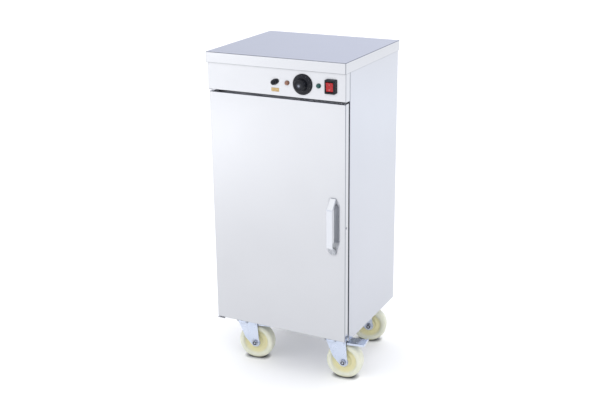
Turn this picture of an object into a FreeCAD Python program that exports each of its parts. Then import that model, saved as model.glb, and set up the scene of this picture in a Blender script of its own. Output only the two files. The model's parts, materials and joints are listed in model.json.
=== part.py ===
import FreeCAD, Part
import os
import Sketcher

# Bakery proofing cabinet: insulated upright box on four swivel casters, with one
# left-hung door and a control panel above it.
# Frame: X to the right, Y to the back, Z up, origin on the floor under the middle
# of the body.  All sizes are millimetres.

DIMENSIONS = [
    # overall shell
    ("total_height", 1000.0, "floor to top of the cover"),
    ("cover_width", 450.0, "overall width of the top cover"),
    ("cover_depth", 400.0, "overall depth of the top cover"),
    ("lip_height", 31.5, "depth of the folded lip of the cover"),
    ("cover_gap", 0.8, "air between the lip and the side panels"),
    ("cover_round", 2.0, "fold radius of the cover"),
    ("side_round", 1.8, "outer fold radius of a side panel"),
    ("panel_round", 1.5, "fold radius of the control panel"),
    ("sheet", 1.2, "outer sheet thickness"),
    ("thin_sheet", 1.0, "liner and side sheet thickness"),
    ("base_sheet", 1.5, "base tray sheet thickness"),
    ("body_half_width", 223.0, "centre to outer face of a side panel"),
    ("body_front", -166.0, "front plane of the body frame"),
    ("body_back", 196.0, "back plane of the body"),
    ("body_bottom", 144.0, "underside of the base tray"),
    ("post_width", 24.0, "width of the folded door posts"),
    ("post_return", 14.0, "depth of the inner fold of a post"),
    ("rear_fold", 15.0, "inward fold at the back of a side panel"),
    # chamber
    ("liner_half_width", 197.5, "centre to inner face of the liner"),
    ("liner_back_face", 164.0, "inner face of the liner back"),
    ("chamber_floor", 178.0, "top face of the liner floor"),
    ("chamber_ceiling", 858.0, "under face of the liner ceiling"),
    ("rail_top", 888.0, "top of the upper door rail"),
    ("rail_depth", 18.0, "depth of the upper door rail"),
    ("deck_level", 889.0, "underside of the control deck"),
    ("foam_gap", 0.5, "air round the foam slabs"),
    # control panel
    ("panel_front", -194.5, "front plane of the control panel and the door"),
    ("panel_bottom", 888.3, "lower edge of the control panel"),
    ("panel_seam", 1.5, "open seam between the control panel and a side panel"),
    ("panel_top", 998.0, "upper edge of the control panel"),
    ("control_line", 928.4, "height of the row of controls"),
    # door
    ("door_left", -219.5, "left edge of the door"),
    ("door_right", 222.7, "right edge of the door"),
    ("door_bottom", 150.5, "lower edge of the door"),
    ("door_top", 881.8, "upper edge of the door"),
    ("door_thickness", 20.0, "thickness of the door"),
    ("door_edge_round", 2.0, "fold radius of the door skin"),
    ("gasket_outer", 208.0, "centre to outer face of the gasket"),
    ("gasket_width", 8.0, "width of the gasket bead"),
    ("gasket_depth", 8.1, "height of the gasket bead"),
    ("gasket_low", 160.0, "lower outer edge of the gasket"),
    ("gasket_high", 874.0, "upper outer edge of the gasket"),
    # hinges
    ("hinge_axis_x", -208.0, "door axis, sideways"),
    ("hinge_axis_y", -186.0, "door axis, front to back"),
    ("hinge_pin_radius", 4.0, "radius of a hinge pin"),
    ("hinge_running_gap", 0.06, "air between the pin and its bush"),
    ("hinge_plate", 3.0, "thickness of a hinge bracket"),
    ("bush_length", 18.0, "length of a door bush"),
    ("pin_length", 15.5, "length of a hinge pin below its bracket"),
    ("plug_y", -187.0, "door edge plug, front to back"),
    ("plug_z", 515.0, "door edge plug, height"),
    ("plug_radius", 2.5, "radius of the door edge plug"),
    # handle
    ("handle_x", 184.0, "middle of the handle"),
    ("handle_width", 19.0, "width of the handle strap"),
    ("handle_middle", 516.0, "middle height of the handle"),
    ("handle_length", 174.0, "overall length of the handle"),
    ("handle_grip", 117.0, "length of the straight grip"),
    ("handle_foot", 13.0, "length of a handle foot"),
    ("handle_tip", 3.0, "thickness of the handle at its two ends"),
    ("handle_bend", 9.0, "outer radius of the bends of the handle"),
    ("handle_stand", 28.0, "door face to the outer face of the grip"),
    ("handle_strap", 5.0, "thickness of the strap"),
    # controls
    ("knob_x", 89.2, "thermostat knob, sideways"),
    ("skirt_radius", 30.0, "radius of the knob skirt"),
    ("hub_radius", 19.0, "radius of the knob hub at the skirt"),
    ("knob_length", 29.0, "panel face to the knob face"),
    ("amber_x", 39.8, "amber lamp, sideways"),
    ("green_x", 139.0, "green lamp, sideways"),
    ("lamp_radius", 7.0, "radius of a lamp bezel"),
    ("rocker_x", 177.0, "rocker switch, sideways"),
    ("rocker_z", 929.5, "rocker switch, height"),
    ("rocker_width", 32.0, "width of the rocker housing"),
    ("rocker_height", 40.0, "height of the rocker housing"),
    ("rocker_proud", 10.0, "panel face to the front of the housing"),
    ("rocker_pivot_y", -199.4, "cross pin of the rocker, front to back"),
    ("fuse_x", 0.6, "fuse holder, sideways"),
    ("fuse_radius", 8.5, "radius of the fuse holder flange"),
    ("label_x", 1.5, "label plate, sideways"),
    ("label_z", 905.8, "label plate, height"),
    # inside
    ("sensor_x", 88.0, "temperature sensor, sideways"),
    ("sensor_y", 120.0, "temperature sensor, front to back"),
    ("shelf_width", 366.0, "width of a wire shelf"),
    ("shelf_depth", 300.0, "depth of a wire shelf"),
    ("shelf_low", 370.0, "height of the lowest shelf"),
    ("shelf_pitch", 150.0, "height between shelves"),
    ("frame_wire", 3.0, "radius of a shelf frame wire"),
    ("grid_wire", 1.5, "radius of a shelf grid wire"),
    ("grid_pitch", 20.0, "pitch of the grid wires"),
    ("element_radius", 4.0, "radius of the heating element tube"),
    ("element_span", 90.0, "distance between the two element legs"),
    ("guard_top", 236.0, "top face of the heater guard"),
    ("pan_height", 42.0, "height of the water pan"),
    # casters
    ("caster_x_front", 155.5, "front swivel axes, sideways"),
    ("caster_y_front", -129.0, "front swivel axes, front to back"),
    ("caster_x_rear", 124.0, "rear swivel axes, sideways"),
    ("caster_y_rear", 132.0, "rear swivel axes, front to back"),
    ("yaw_front_left", 9.0, "rest yaw of the front left fork"),
    ("yaw_front_right", 7.0, "rest yaw of the front right fork"),
    ("yaw_rear_left", 15.0, "rest yaw of the rear left fork"),
    ("yaw_rear_right", 16.0, "rest yaw of the rear right fork"),
    ("trail", 38.0, "swivel axis to wheel axis"),
    ("wheel_radius", 57.5, "radius of a wheel"),
    ("wheel_width", 36.6, "width of a wheel"),
    ("hub_half", 20.5, "wheel centre to the face of its hub"),
    ("dish_outer", 35.0, "outer radius of the dish floor"),
    ("dish_inner", 18.0, "inner radius of the dish floor"),
    ("tread_edge", 50.0, "radius where the tread shoulder starts"),
    ("axle_radius", 5.0, "radius of an axle bolt"),
    ("axle_running_gap", 0.06, "air between the axle and the wheel bore"),
    ("leg_gap", 44.0, "clear width between the fork legs"),
    ("leg_sheet", 3.0, "thickness of the fork sheet"),
    ("yoke_top", 127.0, "top face of the fork yoke"),
    ("plate_top_gap", 0.5, "air between the two ball races"),
    ("plate_long", 96.0, "length of a caster plate"),
    ("plate_wide", 80.0, "width of a caster plate"),
    ("bolt_span_long", 66.0, "caster bolt spacing, sideways"),
    ("bolt_span_wide", 50.0, "caster bolt spacing, front to back"),
    ("bolt_radius", 4.0, "radius of a caster bolt"),
    ("pedal_pivot_x", 40.0, "swivel axis to the pedal pin"),
    ("pedal_pivot_z", 120.5, "height of the pedal pin"),
    # cable gland
    ("gland_x", -150.0, "cable gland, sideways"),
    ("gland_z", 915.0, "cable gland, height"),
    ("gland_bore", 4.2, "radius of the cable passage"),
    ("gland_proud", 24.0, "back face to the end of the gland"),
]

doc = FreeCAD.newDocument("proofing_cabinet")
sheet = doc.addObject("Spreadsheet::Sheet", "Dims")
for row, (alias, value, note) in enumerate(DIMENSIONS, start=1):
    sheet.set("A%d" % row, alias)
    sheet.set("B%d" % row, "%g" % value)
    sheet.setAlias("B%d" % row, alias)
    sheet.set("C%d" % row, note)
doc.recompute()

VALUES = {alias: value for alias, value, note in DIMENSIONS}
Vector = FreeCAD.Vector
Rotation = FreeCAD.Rotation
Placement = FreeCAD.Placement
Z_AXIS = Vector(0, 0, 1)


class Size:
    """A length that keeps both its number and the sheet expression behind it."""

    def __init__(self, text, value):
        self.text = text
        self.value = value

    def _join(self, sign, other, value):
        return Size("(%s %s %s)" % (self.text, sign, other.text), value)

    def __add__(self, other):
        other = size(other)
        return self._join("+", other, self.value + other.value)

    def __radd__(self, other):
        return size(other) + self

    def __sub__(self, other):
        other = size(other)
        return self._join("-", other, self.value - other.value)

    def __rsub__(self, other):
        return size(other) - self

    def __mul__(self, other):
        other = size(other)
        return self._join("*", other, self.value * other.value)

    def __rmul__(self, other):
        return size(other) * self

    def __truediv__(self, other):
        other = size(other)
        return self._join("/", other, self.value / other.value)

    def __neg__(self):
        return Size("(0 - %s)" % self.text, -self.value)


def size(number):
    """Turn a plain number into a Size; a Size passes through."""
    if isinstance(number, Size):
        return number
    return Size("(%.6g)" % number if number < 0 else "%.6g" % number, float(number))


class Sheet:
    """Attribute access to the driving dimensions."""

    def __getattr__(self, alias):
        return Size("Dims.%s" % alias, VALUES[alias])


d = Sheet()
pieces = {}
counter = [0]


def unique(stem):
    counter[0] += 1
    return "%s_%d" % (stem, counter[0])


def bind(obj, prop, length):
    """Drive one property of an object from the sheet."""
    obj.setExpression(prop, size(length).text)


def move(obj, x=0, y=0, z=0):
    """Place an object, each coordinate driven from the sheet."""
    for letter, length in zip("xyz", (x, y, z)):
        bind(obj, "Placement.Base.%s" % letter, length)
    return obj


def piece(label, obj):
    """Register a finished sub-part under its node name."""
    obj.Label = label
    pieces[label] = obj
    return obj


# ---------------------------------------------------------------- primitives


def span_box(low, high):
    """A block between two corners given as sizes."""
    obj = doc.addObject("Part::Box", unique("block"))
    lengths = [size(b) - size(a) for a, b in zip(low, high)]
    for prop, length in zip(("Length", "Width", "Height"), lengths):
        bind(obj, prop, length)
    return move(obj, *low)


TURNS = {
    "+Z": Rotation(),
    "-Z": Rotation(Vector(1, 0, 0), 180),
    "+X": Rotation(Vector(0, 1, 0), 90),
    "-X": Rotation(Vector(0, 1, 0), -90),
    "+Y": Rotation(Vector(1, 0, 0), -90),
    "-Y": Rotation(Vector(1, 0, 0), 90),
}


def rod(radius, length, x, y, z, direction="+Z"):
    """A cylinder that starts at a point and runs along a direction."""
    obj = doc.addObject("Part::Cylinder", unique("rod"))
    obj.Placement = Placement(Vector(), TURNS[direction])
    bind(obj, "Radius", radius)
    bind(obj, "Height", length)
    return move(obj, x, y, z)


def cone(radius_1, radius_2, length, x, y, z, direction="+Z"):
    obj = doc.addObject("Part::Cone", unique("cone"))
    obj.Placement = Placement(Vector(), TURNS[direction])
    bind(obj, "Radius1", radius_1)
    bind(obj, "Radius2", radius_2)
    bind(obj, "Height", length)
    return move(obj, x, y, z)


def hexagon(radius, length, x, y, z, direction="+Z"):
    """A hexagonal head or nut, radius across its corners."""
    obj = doc.addObject("Part::Prism", unique("hexagon"))
    obj.Placement = Placement(Vector(), TURNS[direction])
    obj.Polygon = 6
    bind(obj, "Circumradius", radius)
    bind(obj, "Height", length)
    return move(obj, x, y, z)


def fuse(*objects):
    if len(objects) == 1:
        return objects[0]
    obj = doc.addObject("Part::MultiFuse", unique("joined"))
    obj.Shapes = list(objects)
    return obj


def cut(base, *tools):
    obj = doc.addObject("Part::Cut", unique("cut"))
    obj.Base = base
    obj.Tool = fuse(*tools)
    return obj


def group(*objects):
    """Several separate solids under one node."""
    obj = doc.addObject("Part::Compound", unique("group"))
    obj.Links = list(objects)
    return obj


# ------------------------------------------------------- sketched features


def new_body(label):
    return piece(label, doc.addObject("PartDesign::Body", label))


def new_sketch(body, role, offset=0):
    """A sketch on an origin plane; XZ sketches face the front, YZ the right."""
    plane = [f for f in body.Origin.OriginFeatures if f.Role == role][0]
    sketch = body.newObject("Sketcher::SketchObject", unique("sketch"))
    sketch.AttachmentSupport = (plane, "")
    sketch.MapMode = "FlatFace"
    bind(sketch, "AttachmentOffset.Base.z", offset)
    return sketch


def outline(sketch, points):
    """A closed outline whose corners are all driven from the sheet."""
    points = [(size(x), size(y)) for x, y in points]
    first = sketch.GeometryCount
    count = len(points)
    for i in range(count):
        a = points[i]
        b = points[(i + 1) % count]
        start = Vector(a[0].value, a[1].value, 0)
        end = Vector(b[0].value, b[1].value, 0)
        sketch.addGeometry(Part.LineSegment(start, end), False)
    for i in range(count):
        after = first + (i + 1) % count
        sketch.addConstraint(Sketcher.Constraint("Coincident", first + i, 2, after, 1))
    for i, (x, y) in enumerate(points):
        for kind, length in (("DistanceX", x), ("DistanceY", y)):
            rule = Sketcher.Constraint(kind, -1, 1, first + i, 1, length.value)
            index = sketch.addConstraint(rule)
            sketch.setExpression("Constraints[%d]" % index, length.text)


def ring_line(sketch, x, y, radius):
    """A full circle driven from the sheet."""
    x, y, radius = size(x), size(y), size(radius)
    circle = Part.Circle(Vector(x.value, y.value, 0), Z_AXIS, radius.value)
    item = sketch.addGeometry(circle, False)
    for kind, length in (("DistanceX", x), ("DistanceY", y)):
        rule = Sketcher.Constraint(kind, -1, 1, item, 3, length.value)
        index = sketch.addConstraint(rule)
        sketch.setExpression("Constraints[%d]" % index, length.text)
    index = sketch.addConstraint(Sketcher.Constraint("Radius", item, radius.value))
    sketch.setExpression("Constraints[%d]" % index, radius.text)


def rectangle(sketch, x0, y0, x1, y1):
    outline(sketch, [(x0, y0), (x1, y0), (x1, y1), (x0, y1)])


def pad(body, sketch, length, reverse=False):
    feature = body.newObject("PartDesign::Pad", unique("pad"))
    feature.Profile = sketch
    bind(feature, "Length", length)
    feature.Reversed = reverse
    sketch.Visibility = False
    return feature


def pocket(body, sketch, length, reverse=False):
    """Remove material against the sketch normal, or along it when reversed."""
    feature = body.newObject("PartDesign::Pocket", unique("pocket"))
    feature.Profile = sketch
    bind(feature, "Length", length)
    feature.Reversed = reverse
    sketch.Visibility = False
    return feature


def turned(label, points, axis="V_Axis", role="XZ_Plane"):
    """A body of revolution about one axis of its sketch."""
    body = new_body(label)
    sketch = new_sketch(body, role)
    outline(sketch, points)
    feature = body.newObject("PartDesign::Revolution", unique("turn"))
    feature.Profile = sketch
    feature.ReferenceAxis = (sketch, [axis])
    feature.Angle = 360
    sketch.Visibility = False
    return body


def row_pattern(body, feature, sketch, axis, length, occurrences, reverse=False):
    """Repeat one feature at an even pitch and make it the tip."""
    pattern = body.newObject("PartDesign::LinearPattern", unique("row"))
    pattern.Originals = [feature]
    pattern.Direction = (sketch, [axis])
    bind(pattern, "Length", length)
    pattern.Occurrences = occurrences
    pattern.Reversed = reverse
    body.Tip = pattern
    return pattern


def round_edges(body, radius, wanted):
    """Round the edges of the tip that a test picks out."""
    doc.recompute()
    base = body.Tip
    names = []
    for index, edge in enumerate(base.Shape.Edges, start=1):
        if wanted(edge):
            names.append("Edge%d" % index)
    feature = body.newObject("PartDesign::Fillet", unique("round"))
    feature.Base = (base, names)
    bind(feature, "Radius", radius)
    return feature


def near(a, b, slack=0.01):
    return abs(a - b) < slack


def upright(edge):
    return near(edge.BoundBox.XLength, 0) and near(edge.BoundBox.YLength, 0)


def lies_in(edge, axis, level):
    """True for an edge that lies wholly in one plane across an axis."""
    box = edge.BoundBox
    low = {"x": box.XMin, "y": box.YMin, "z": box.ZMin}[axis]
    high = {"x": box.XMax, "y": box.YMax, "z": box.ZMax}[axis]
    return near(low, level.value) and near(high, level.value)


# ------------------------------------------------------------------- shell


def build_top_cover():
    """Shallow tray, open below, with welded and dressed lip corners."""
    body = new_body("top_cover")
    half_x = d.cover_width / 2
    half_y = d.cover_depth / 2
    lip_bottom = d.total_height - d.lip_height
    block = new_sketch(body, "XY_Plane", lip_bottom)
    rectangle(block, -half_x, -half_y, half_x, half_y)
    pad(body, block, d.lip_height)
    round_edges(body, d.cover_round, lambda e: not lies_in(e, "z", lip_bottom))
    hollow = new_sketch(body, "XY_Plane", lip_bottom)
    rectangle(hollow, d.sheet - half_x, d.sheet - half_y, half_x - d.sheet, half_y - d.sheet)
    pocket(body, hollow, d.lip_height - d.sheet, reverse=True)


def build_side_panel(label, side):
    """Folded sheet: flat web, door post fold at the front, flange at the back."""
    body = new_body(label)
    outer = d.body_half_width * side
    web = (d.body_half_width - d.thin_sheet) * side
    post = (d.body_half_width - d.post_width) * side
    post_wall = (d.body_half_width - d.post_width + d.thin_sheet) * side
    flange = (d.body_half_width - d.rear_fold) * side
    front = d.body_front
    back = d.body_back - d.thin_sheet
    inner_front = front + d.thin_sheet
    inner_back = back - d.thin_sheet
    fold = front + d.post_return
    sketch = new_sketch(body, "XY_Plane", d.body_bottom)
    outline(sketch, [
        (outer, front), (outer, back), (flange, back), (flange, inner_back),
        (web, inner_back), (web, inner_front), (post_wall, inner_front),
        (post_wall, fold), (post, fold), (post, front),
    ])
    top = d.total_height - d.sheet - d.cover_gap
    pad(body, sketch, top - d.body_bottom)
    round_edges(body, d.side_round, lambda e: lies_in(e, "x", outer) and upright(e))
    holes = new_sketch(body, "XZ_Plane", -back)
    for x, z in rear_screw_points():
        if x.value * side > 0:
            ring_line(holes, x, z, 2.2)
    pocket(body, holes, d.thin_sheet, reverse=True)


def build_front_rail():
    """Upper rail of the door frame, a channel between the two posts."""
    body = new_body("front_rail")
    front = d.body_front
    back = d.body_front + d.rail_depth
    low = d.chamber_ceiling + d.thin_sheet
    high = d.rail_top
    half = d.body_half_width - d.post_width - 0.1
    sketch = new_sketch(body, "YZ_Plane", -half)
    outline(sketch, [
        (front, low), (back, low), (back, low + d.thin_sheet),
        (front + d.thin_sheet, low + d.thin_sheet), (front + d.thin_sheet, high - d.thin_sheet),
        (back, high - d.thin_sheet), (back, high), (front, high),
    ])
    pad(body, sketch, 2 * half)


def build_rear_panel():
    """Flat back sheet with two rows of vent slots and the cable hole."""
    body = new_body("rear_panel")
    half = d.body_half_width - 1.5
    face = new_sketch(body, "XZ_Plane", -d.body_back)
    low = d.body_bottom + 2
    high = d.total_height - d.lip_height - 2
    rectangle(face, -half, low, half, high)
    ring_line(face, d.gland_x, d.gland_z, 10.1)
    for x, z in rear_screw_points():
        ring_line(face, x, z, 2.2)
    pad(body, face, d.thin_sheet, reverse=False)
    for level in (d.control_line - 16, d.control_line + 4):
        slot = new_sketch(body, "XZ_Plane", -d.body_back)
        rectangle(slot, -60, level, -56, level + 14)
        hole = pocket(body, slot, d.thin_sheet, reverse=True)
        row_pattern(body, hole, slot, "H_Axis", 180, 16)


def rear_screw_points():
    half = d.body_half_width - 9
    low = d.body_bottom + 45
    high = d.total_height - d.lip_height - 12
    middle = (low + high) / 2
    return [(x, z) for x in (-half, half) for z in (low, middle, high)]


def caster_points():
    """Name, swivel x, swivel y and rest yaw of each caster."""
    return [
        ("fl", -d.caster_x_front, d.caster_y_front, d.yaw_front_left),
        ("fr", d.caster_x_front, d.caster_y_front, d.yaw_front_right),
        ("rl", -d.caster_x_rear, d.caster_y_rear, d.yaw_rear_left),
        ("rr", d.caster_x_rear, d.caster_y_rear, d.yaw_rear_right),
    ]


def caster_bolt_points():
    points = []
    for name, x, y, yaw in caster_points():
        for i in (-1, 1):
            for j in (-1, 1):
                points.append((x + i * d.bolt_span_long / 2, y + j * d.bolt_span_wide / 2))
    return points


def build_base_tray():
    """Bottom tray: its front wall is the lower rail of the door frame."""
    body = new_body("base_tray")
    half = d.body_half_width - d.thin_sheet - 0.2
    back = d.body_back - 2 * d.thin_sheet - 0.2
    front = d.body_front + d.thin_sheet + 0.1
    floor = d.body_bottom
    height = d.chamber_floor - d.thin_sheet - 0.2 - floor
    block = new_sketch(body, "XY_Plane", floor)
    rectangle(block, -half, front, half, back)
    pad(body, block, height)
    hollow = new_sketch(body, "XY_Plane", floor + d.base_sheet)
    wall = d.base_sheet
    rectangle(hollow, wall - half, front + wall, half - wall, back - wall)
    pocket(body, hollow, height, reverse=True)
    # the post folds pass down through the front corners of the tray
    notch = new_sketch(body, "XY_Plane", floor)
    inner = d.body_half_width - d.post_width - 0.3
    fold = d.body_front + d.post_return + 0.3
    for side in (-1, 1):
        rectangle(notch, side * inner, front - 1, side * (half + 1), fold)
    pocket(body, notch, height, reverse=True)
    rail = new_sketch(body, "XY_Plane", floor)
    rectangle(rail, -inner, d.body_front, inner, front)
    pad(body, rail, height)
    holes = new_sketch(body, "XY_Plane", floor)
    for x, y in caster_bolt_points():
        ring_line(holes, x, y, d.bolt_radius + 0.3)
    pocket(body, holes, d.base_sheet, reverse=True)


def build_control_panel():
    """Front box of the controls: face, two side returns and a bottom return."""
    body = new_body("control_panel")
    half = d.body_half_width
    back = d.body_front - d.panel_seam
    block = new_sketch(body, "XY_Plane", d.panel_bottom)
    rectangle(block, -half, d.panel_front, half, back)
    pad(body, block, d.panel_top - d.panel_bottom)
    round_edges(body, d.panel_round, lambda e: (
        lies_in(e, "y", d.panel_front) and not lies_in(e, "z", d.panel_top)))
    hollow = new_sketch(body, "XY_Plane", d.panel_bottom + d.sheet)
    rectangle(hollow, d.sheet - half, d.panel_front + d.sheet, half - d.sheet, back + 1)
    pocket(body, hollow, d.panel_top - d.panel_bottom, reverse=True)
    openings = new_sketch(body, "XZ_Plane", -d.panel_front)
    ring_line(openings, d.knob_x, d.control_line, 5.5)
    ring_line(openings, d.amber_x, d.control_line, 5.2)
    ring_line(openings, d.green_x, d.control_line, 5.2)
    ring_line(openings, d.fuse_x, d.control_line, 6.2)
    rectangle(openings, d.rocker_x - 13.8, d.rocker_z - 16.8, d.rocker_x + 13.8, d.rocker_z + 16.8)
    pocket(body, openings, d.sheet)
    screws = new_sketch(body, "XY_Plane", d.panel_bottom)
    for x, y in flange_screw_points():
        ring_line(screws, x, y, 2.2)
    pocket(body, screws, d.sheet, reverse=True)


def flange_screw_points():
    """Middles of the screws that pass up through the control panel flange."""
    level = d.panel_front + 9
    return [(size(-192), level), (size(10), level), (size(213), level)]


def build_control_deck():
    """Sheet floor of the control compartment, with a hole for the sensor."""
    body = new_body("control_deck")
    half = d.body_half_width - d.thin_sheet - 0.2
    face = new_sketch(body, "XY_Plane", d.deck_level)
    inner = d.body_half_width - d.post_width - 0.3
    front = d.body_front + 0.2
    fold = d.body_front + d.post_return + 0.3
    back = d.body_back - 2 * d.thin_sheet - 0.2
    outline(face, [
        (-inner, front), (inner, front), (inner, fold), (half, fold), (half, back),
        (-half, back), (-half, fold), (-inner, fold),
    ])
    ring_line(face, d.sensor_x, d.sensor_y, 2.2)
    pad(body, face, d.thin_sheet)


def build_liner():
    """Inner chamber skin as flat sheets: two sides, back, floor and ceiling."""
    wall = d.thin_sheet
    inner = d.liner_half_width
    front = d.body_front + 0.2
    back = d.liner_back_face
    low = d.chamber_floor
    high = d.chamber_ceiling
    left = span_box((-inner - wall, front, low), (-inner, back, high))
    right = span_box((inner, front, low), (inner + wall, back, high))
    piece("liner_sides", group(left, right))
    piece("liner_back", span_box((-inner - wall, back, low), (inner + wall, back + wall, high)))
    floor = span_box((-inner - wall, front, low - wall), (inner + wall, back + wall, low))
    ceiling = span_box((-inner - wall, front, high), (inner + wall, back + wall, high + wall))
    ceiling = cut(ceiling, rod(2.2, 3, d.sensor_x, d.sensor_y, high - 1))
    piece("liner_ends", group(floor, ceiling))


def build_insulation():
    """Foam slabs between the liner and the outer skin."""
    gap = d.foam_gap
    out_x = d.body_half_width - d.thin_sheet - gap
    in_x = d.liner_half_width + d.thin_sheet + gap
    front = d.body_front + d.post_return + gap
    back = d.liner_back_face
    low = d.chamber_floor
    high = d.chamber_ceiling
    left = span_box((-out_x, front, low), (-in_x, back, high))
    right = span_box((in_x, front, low), (out_x, back, high))
    rear_x = d.body_half_width - d.rear_fold - gap
    rear = span_box(
        (-rear_x, back + d.thin_sheet + gap, low),
        (rear_x, d.body_back - 2 * d.thin_sheet - gap, high),
    )
    tray_x = out_x - d.base_sheet - gap
    floor = span_box(
        (-tray_x, front + 6, d.body_bottom + d.base_sheet + 8),
        (tray_x, d.body_back - 6, low - d.thin_sheet - gap),
    )
    roof = span_box(
        (-out_x, front + 6, high + d.thin_sheet + gap),
        (out_x, d.body_back - 2 * d.thin_sheet - gap, d.deck_level - gap),
    )
    roof = cut(roof, rod(2.4, 40, d.sensor_x, d.sensor_y, high))
    piece("insulation", group(left, right, rear, floor, roof))


# -------------------------------------------------------------------- door


def door_back():
    return d.panel_front + d.door_thickness


def build_door_skin():
    """Outer door tray, open at the back, holed for the pins and the handle."""
    body = new_body("door_skin")
    height = d.door_top - d.door_bottom
    block = new_sketch(body, "XY_Plane", d.door_bottom)
    rectangle(block, d.door_left, d.panel_front, d.door_right, door_back())
    pad(body, block, height)
    round_edges(body, d.door_edge_round, lambda e: lies_in(e, "y", d.panel_front))
    hollow = new_sketch(body, "XZ_Plane", -door_back())
    wall = d.thin_sheet
    rectangle(hollow, d.door_left + wall, d.door_bottom + wall, d.door_right - wall, d.door_top - wall)
    pocket(body, hollow, d.door_thickness - wall, reverse=True)
    pins = new_sketch(body, "XY_Plane", d.door_bottom)
    ring_line(pins, d.hinge_axis_x, d.hinge_axis_y, d.hinge_pin_radius + 1)
    pocket(body, pins, height, reverse=True)
    screws = new_sketch(body, "XZ_Plane", -d.panel_front)
    for level in handle_screw_levels():
        ring_line(screws, d.handle_x, level, 2.7)
    pocket(body, screws, d.thin_sheet)
    plug = new_sketch(body, "YZ_Plane", d.door_right)
    ring_line(plug, d.plug_y, d.plug_z, d.plug_radius + 0.1)
    pocket(body, plug, d.thin_sheet)


def handle_screw_levels():
    reach = d.handle_length / 2 - d.handle_foot / 2
    return [d.handle_middle - reach, d.handle_middle + reach]


def build_door_inside():
    """Inner sheet, foam core, hinge bushes, edge plug and gasket."""
    wall = d.thin_sheet
    face = door_back() - 0.3
    gap = 0.3
    left = d.door_left + wall + gap
    right = d.door_right - wall - gap
    low = d.door_bottom + wall + gap
    high = d.door_top - wall - gap
    piece("door_liner", span_box((left, face - wall, low), (right, face, high)))
    front = d.panel_front + wall
    bush_right = d.hinge_axis_x + 9
    core = span_box((bush_right + 1, front + 4.2, low), (right, face - wall - 0.2, high))
    core = cut(core, rod(3.4, 7, d.door_right + 1, d.plug_y, d.plug_z, "-X"))
    piece("door_insulation", core)
    bore = d.hinge_pin_radius + d.hinge_running_gap
    bushes = []
    for start in (low, high - d.bush_length):
        block = span_box(
            (left, front + gap, start),
            (bush_right, face - wall - gap, start + d.bush_length),
        )
        bushes.append(cut(block, rod(bore, d.bush_length + 2, d.hinge_axis_x, d.hinge_axis_y, start - 1)))
    piece("door_bushes", group(*bushes))
    plug = fuse(
        rod(3.2, 0.8, d.door_right, d.plug_y, d.plug_z, "+X"),
        rod(d.plug_radius, 5, d.door_right, d.plug_y, d.plug_z, "-X"),
    )
    piece("door_edge_plug", plug)


def build_gasket():
    """Rectangular rubber bead round the back of the door."""
    body = new_body("door_gasket")
    ring = new_sketch(body, "XZ_Plane", -door_back())
    outer = d.gasket_outer
    inner = d.gasket_outer - d.gasket_width
    low = d.gasket_low
    high = d.gasket_high
    width = d.gasket_width
    rectangle(ring, -outer, low, outer, high)
    rectangle(ring, -inner, low + width, inner, high - width)
    pad(body, ring, d.gasket_depth, reverse=True)
    tip = door_back() + d.gasket_depth
    round_edges(body, 3.0, lambda e: lies_in(e, "y", tip))


def build_handle():
    """Arched strap pull: two feet, two sloped legs and a straight grip."""
    body = new_body("door_handle")
    face = d.panel_front
    top = face - d.handle_stand
    half = d.handle_length / 2
    grip = d.handle_grip / 2
    foot = half - d.handle_foot
    strap = d.handle_strap
    middle = d.handle_middle
    under = grip - strap * 0.45
    side = new_sketch(body, "YZ_Plane", d.handle_x - d.handle_width / 2)
    upper = [
        (face, half), (face - d.handle_tip, half), (top, grip),
    ]
    lower = [(y, -z) for y, z in reversed(upper)]
    inner_lower = [(top + strap, -under), (face, -(foot - 1.5))]
    inner_upper = [(y, -z) for y, z in reversed(inner_lower)]
    path = upper + lower + list(reversed(inner_lower)) + list(reversed(inner_upper))
    outline(side, [(y, middle + z) for y, z in path])
    pad(body, side, d.handle_width)
    bend = d.handle_bend
    round_edges(body, bend, lambda e: cross_edge_at(e, top))
    round_edges(body, bend - strap + 1, lambda e: cross_edge_at(e, top + strap))
    round_edges(body, 1.8, lambda e: handle_edge(e, face))
    holes = new_sketch(body, "XZ_Plane", -face)
    for level in handle_screw_levels():
        ring_line(holes, d.handle_x, level, 2.5)
    pocket(body, holes, 3.6, reverse=True)
    shanks = []
    for level in handle_screw_levels():
        start = d.panel_front + d.thin_sheet
        shank = rod(2.3, 4.2, d.handle_x, start, level, "-Y")
        head = rod(4.6, 3.2, d.handle_x, start, level, "+Y")
        shanks.append(fuse(shank, head))
    piece("handle_screws", group(*shanks))


def cross_edge_at(edge, depth):
    """An edge across the strap at a given depth."""
    box = edge.BoundBox
    return box.XMax - box.XMin > 1 and lies_in(edge, "y", depth)


def handle_edge(edge, face):
    """Long side edges of the strap, away from the door face."""
    box = edge.BoundBox
    return box.XMax - box.XMin < 0.01 and not lies_in(edge, "y", face)


def build_hinges():
    """Two pivot brackets fixed to the body, each with a pin into the door."""
    x = d.hinge_axis_x
    y = d.hinge_axis_y
    left = -d.body_half_width + 1
    right = x + 8
    front = d.panel_front + 2.5
    low = d.panel_bottom - d.hinge_plate
    upper = fuse(
        span_box((left, front, low), (right, d.body_front - 2, d.panel_bottom)),
        rod(d.hinge_pin_radius, d.pin_length, x, y, low, "-Z"),
    )
    base = d.body_bottom
    top = base + d.hinge_plate
    lower = fuse(
        span_box((left, front, base), (right, d.body_front, top)),
        span_box((left, d.body_front - 2.2, base), (left + 12, d.body_front, base + 34)),
        rod(d.hinge_pin_radius, d.pin_length, x, y, top),
    )
    piece("hinge_brackets", group(upper, lower))
    catch = fuse(
        span_box((210.5, d.body_front - 6.6, 742), (220.5, d.body_front, 790)),
        span_box((212.5, d.body_front - 7.6, 748), (218.5, d.body_front - 6.6, 784)),
    )
    piece("magnet_catch", catch)


# ---------------------------------------------------------------- controls


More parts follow.
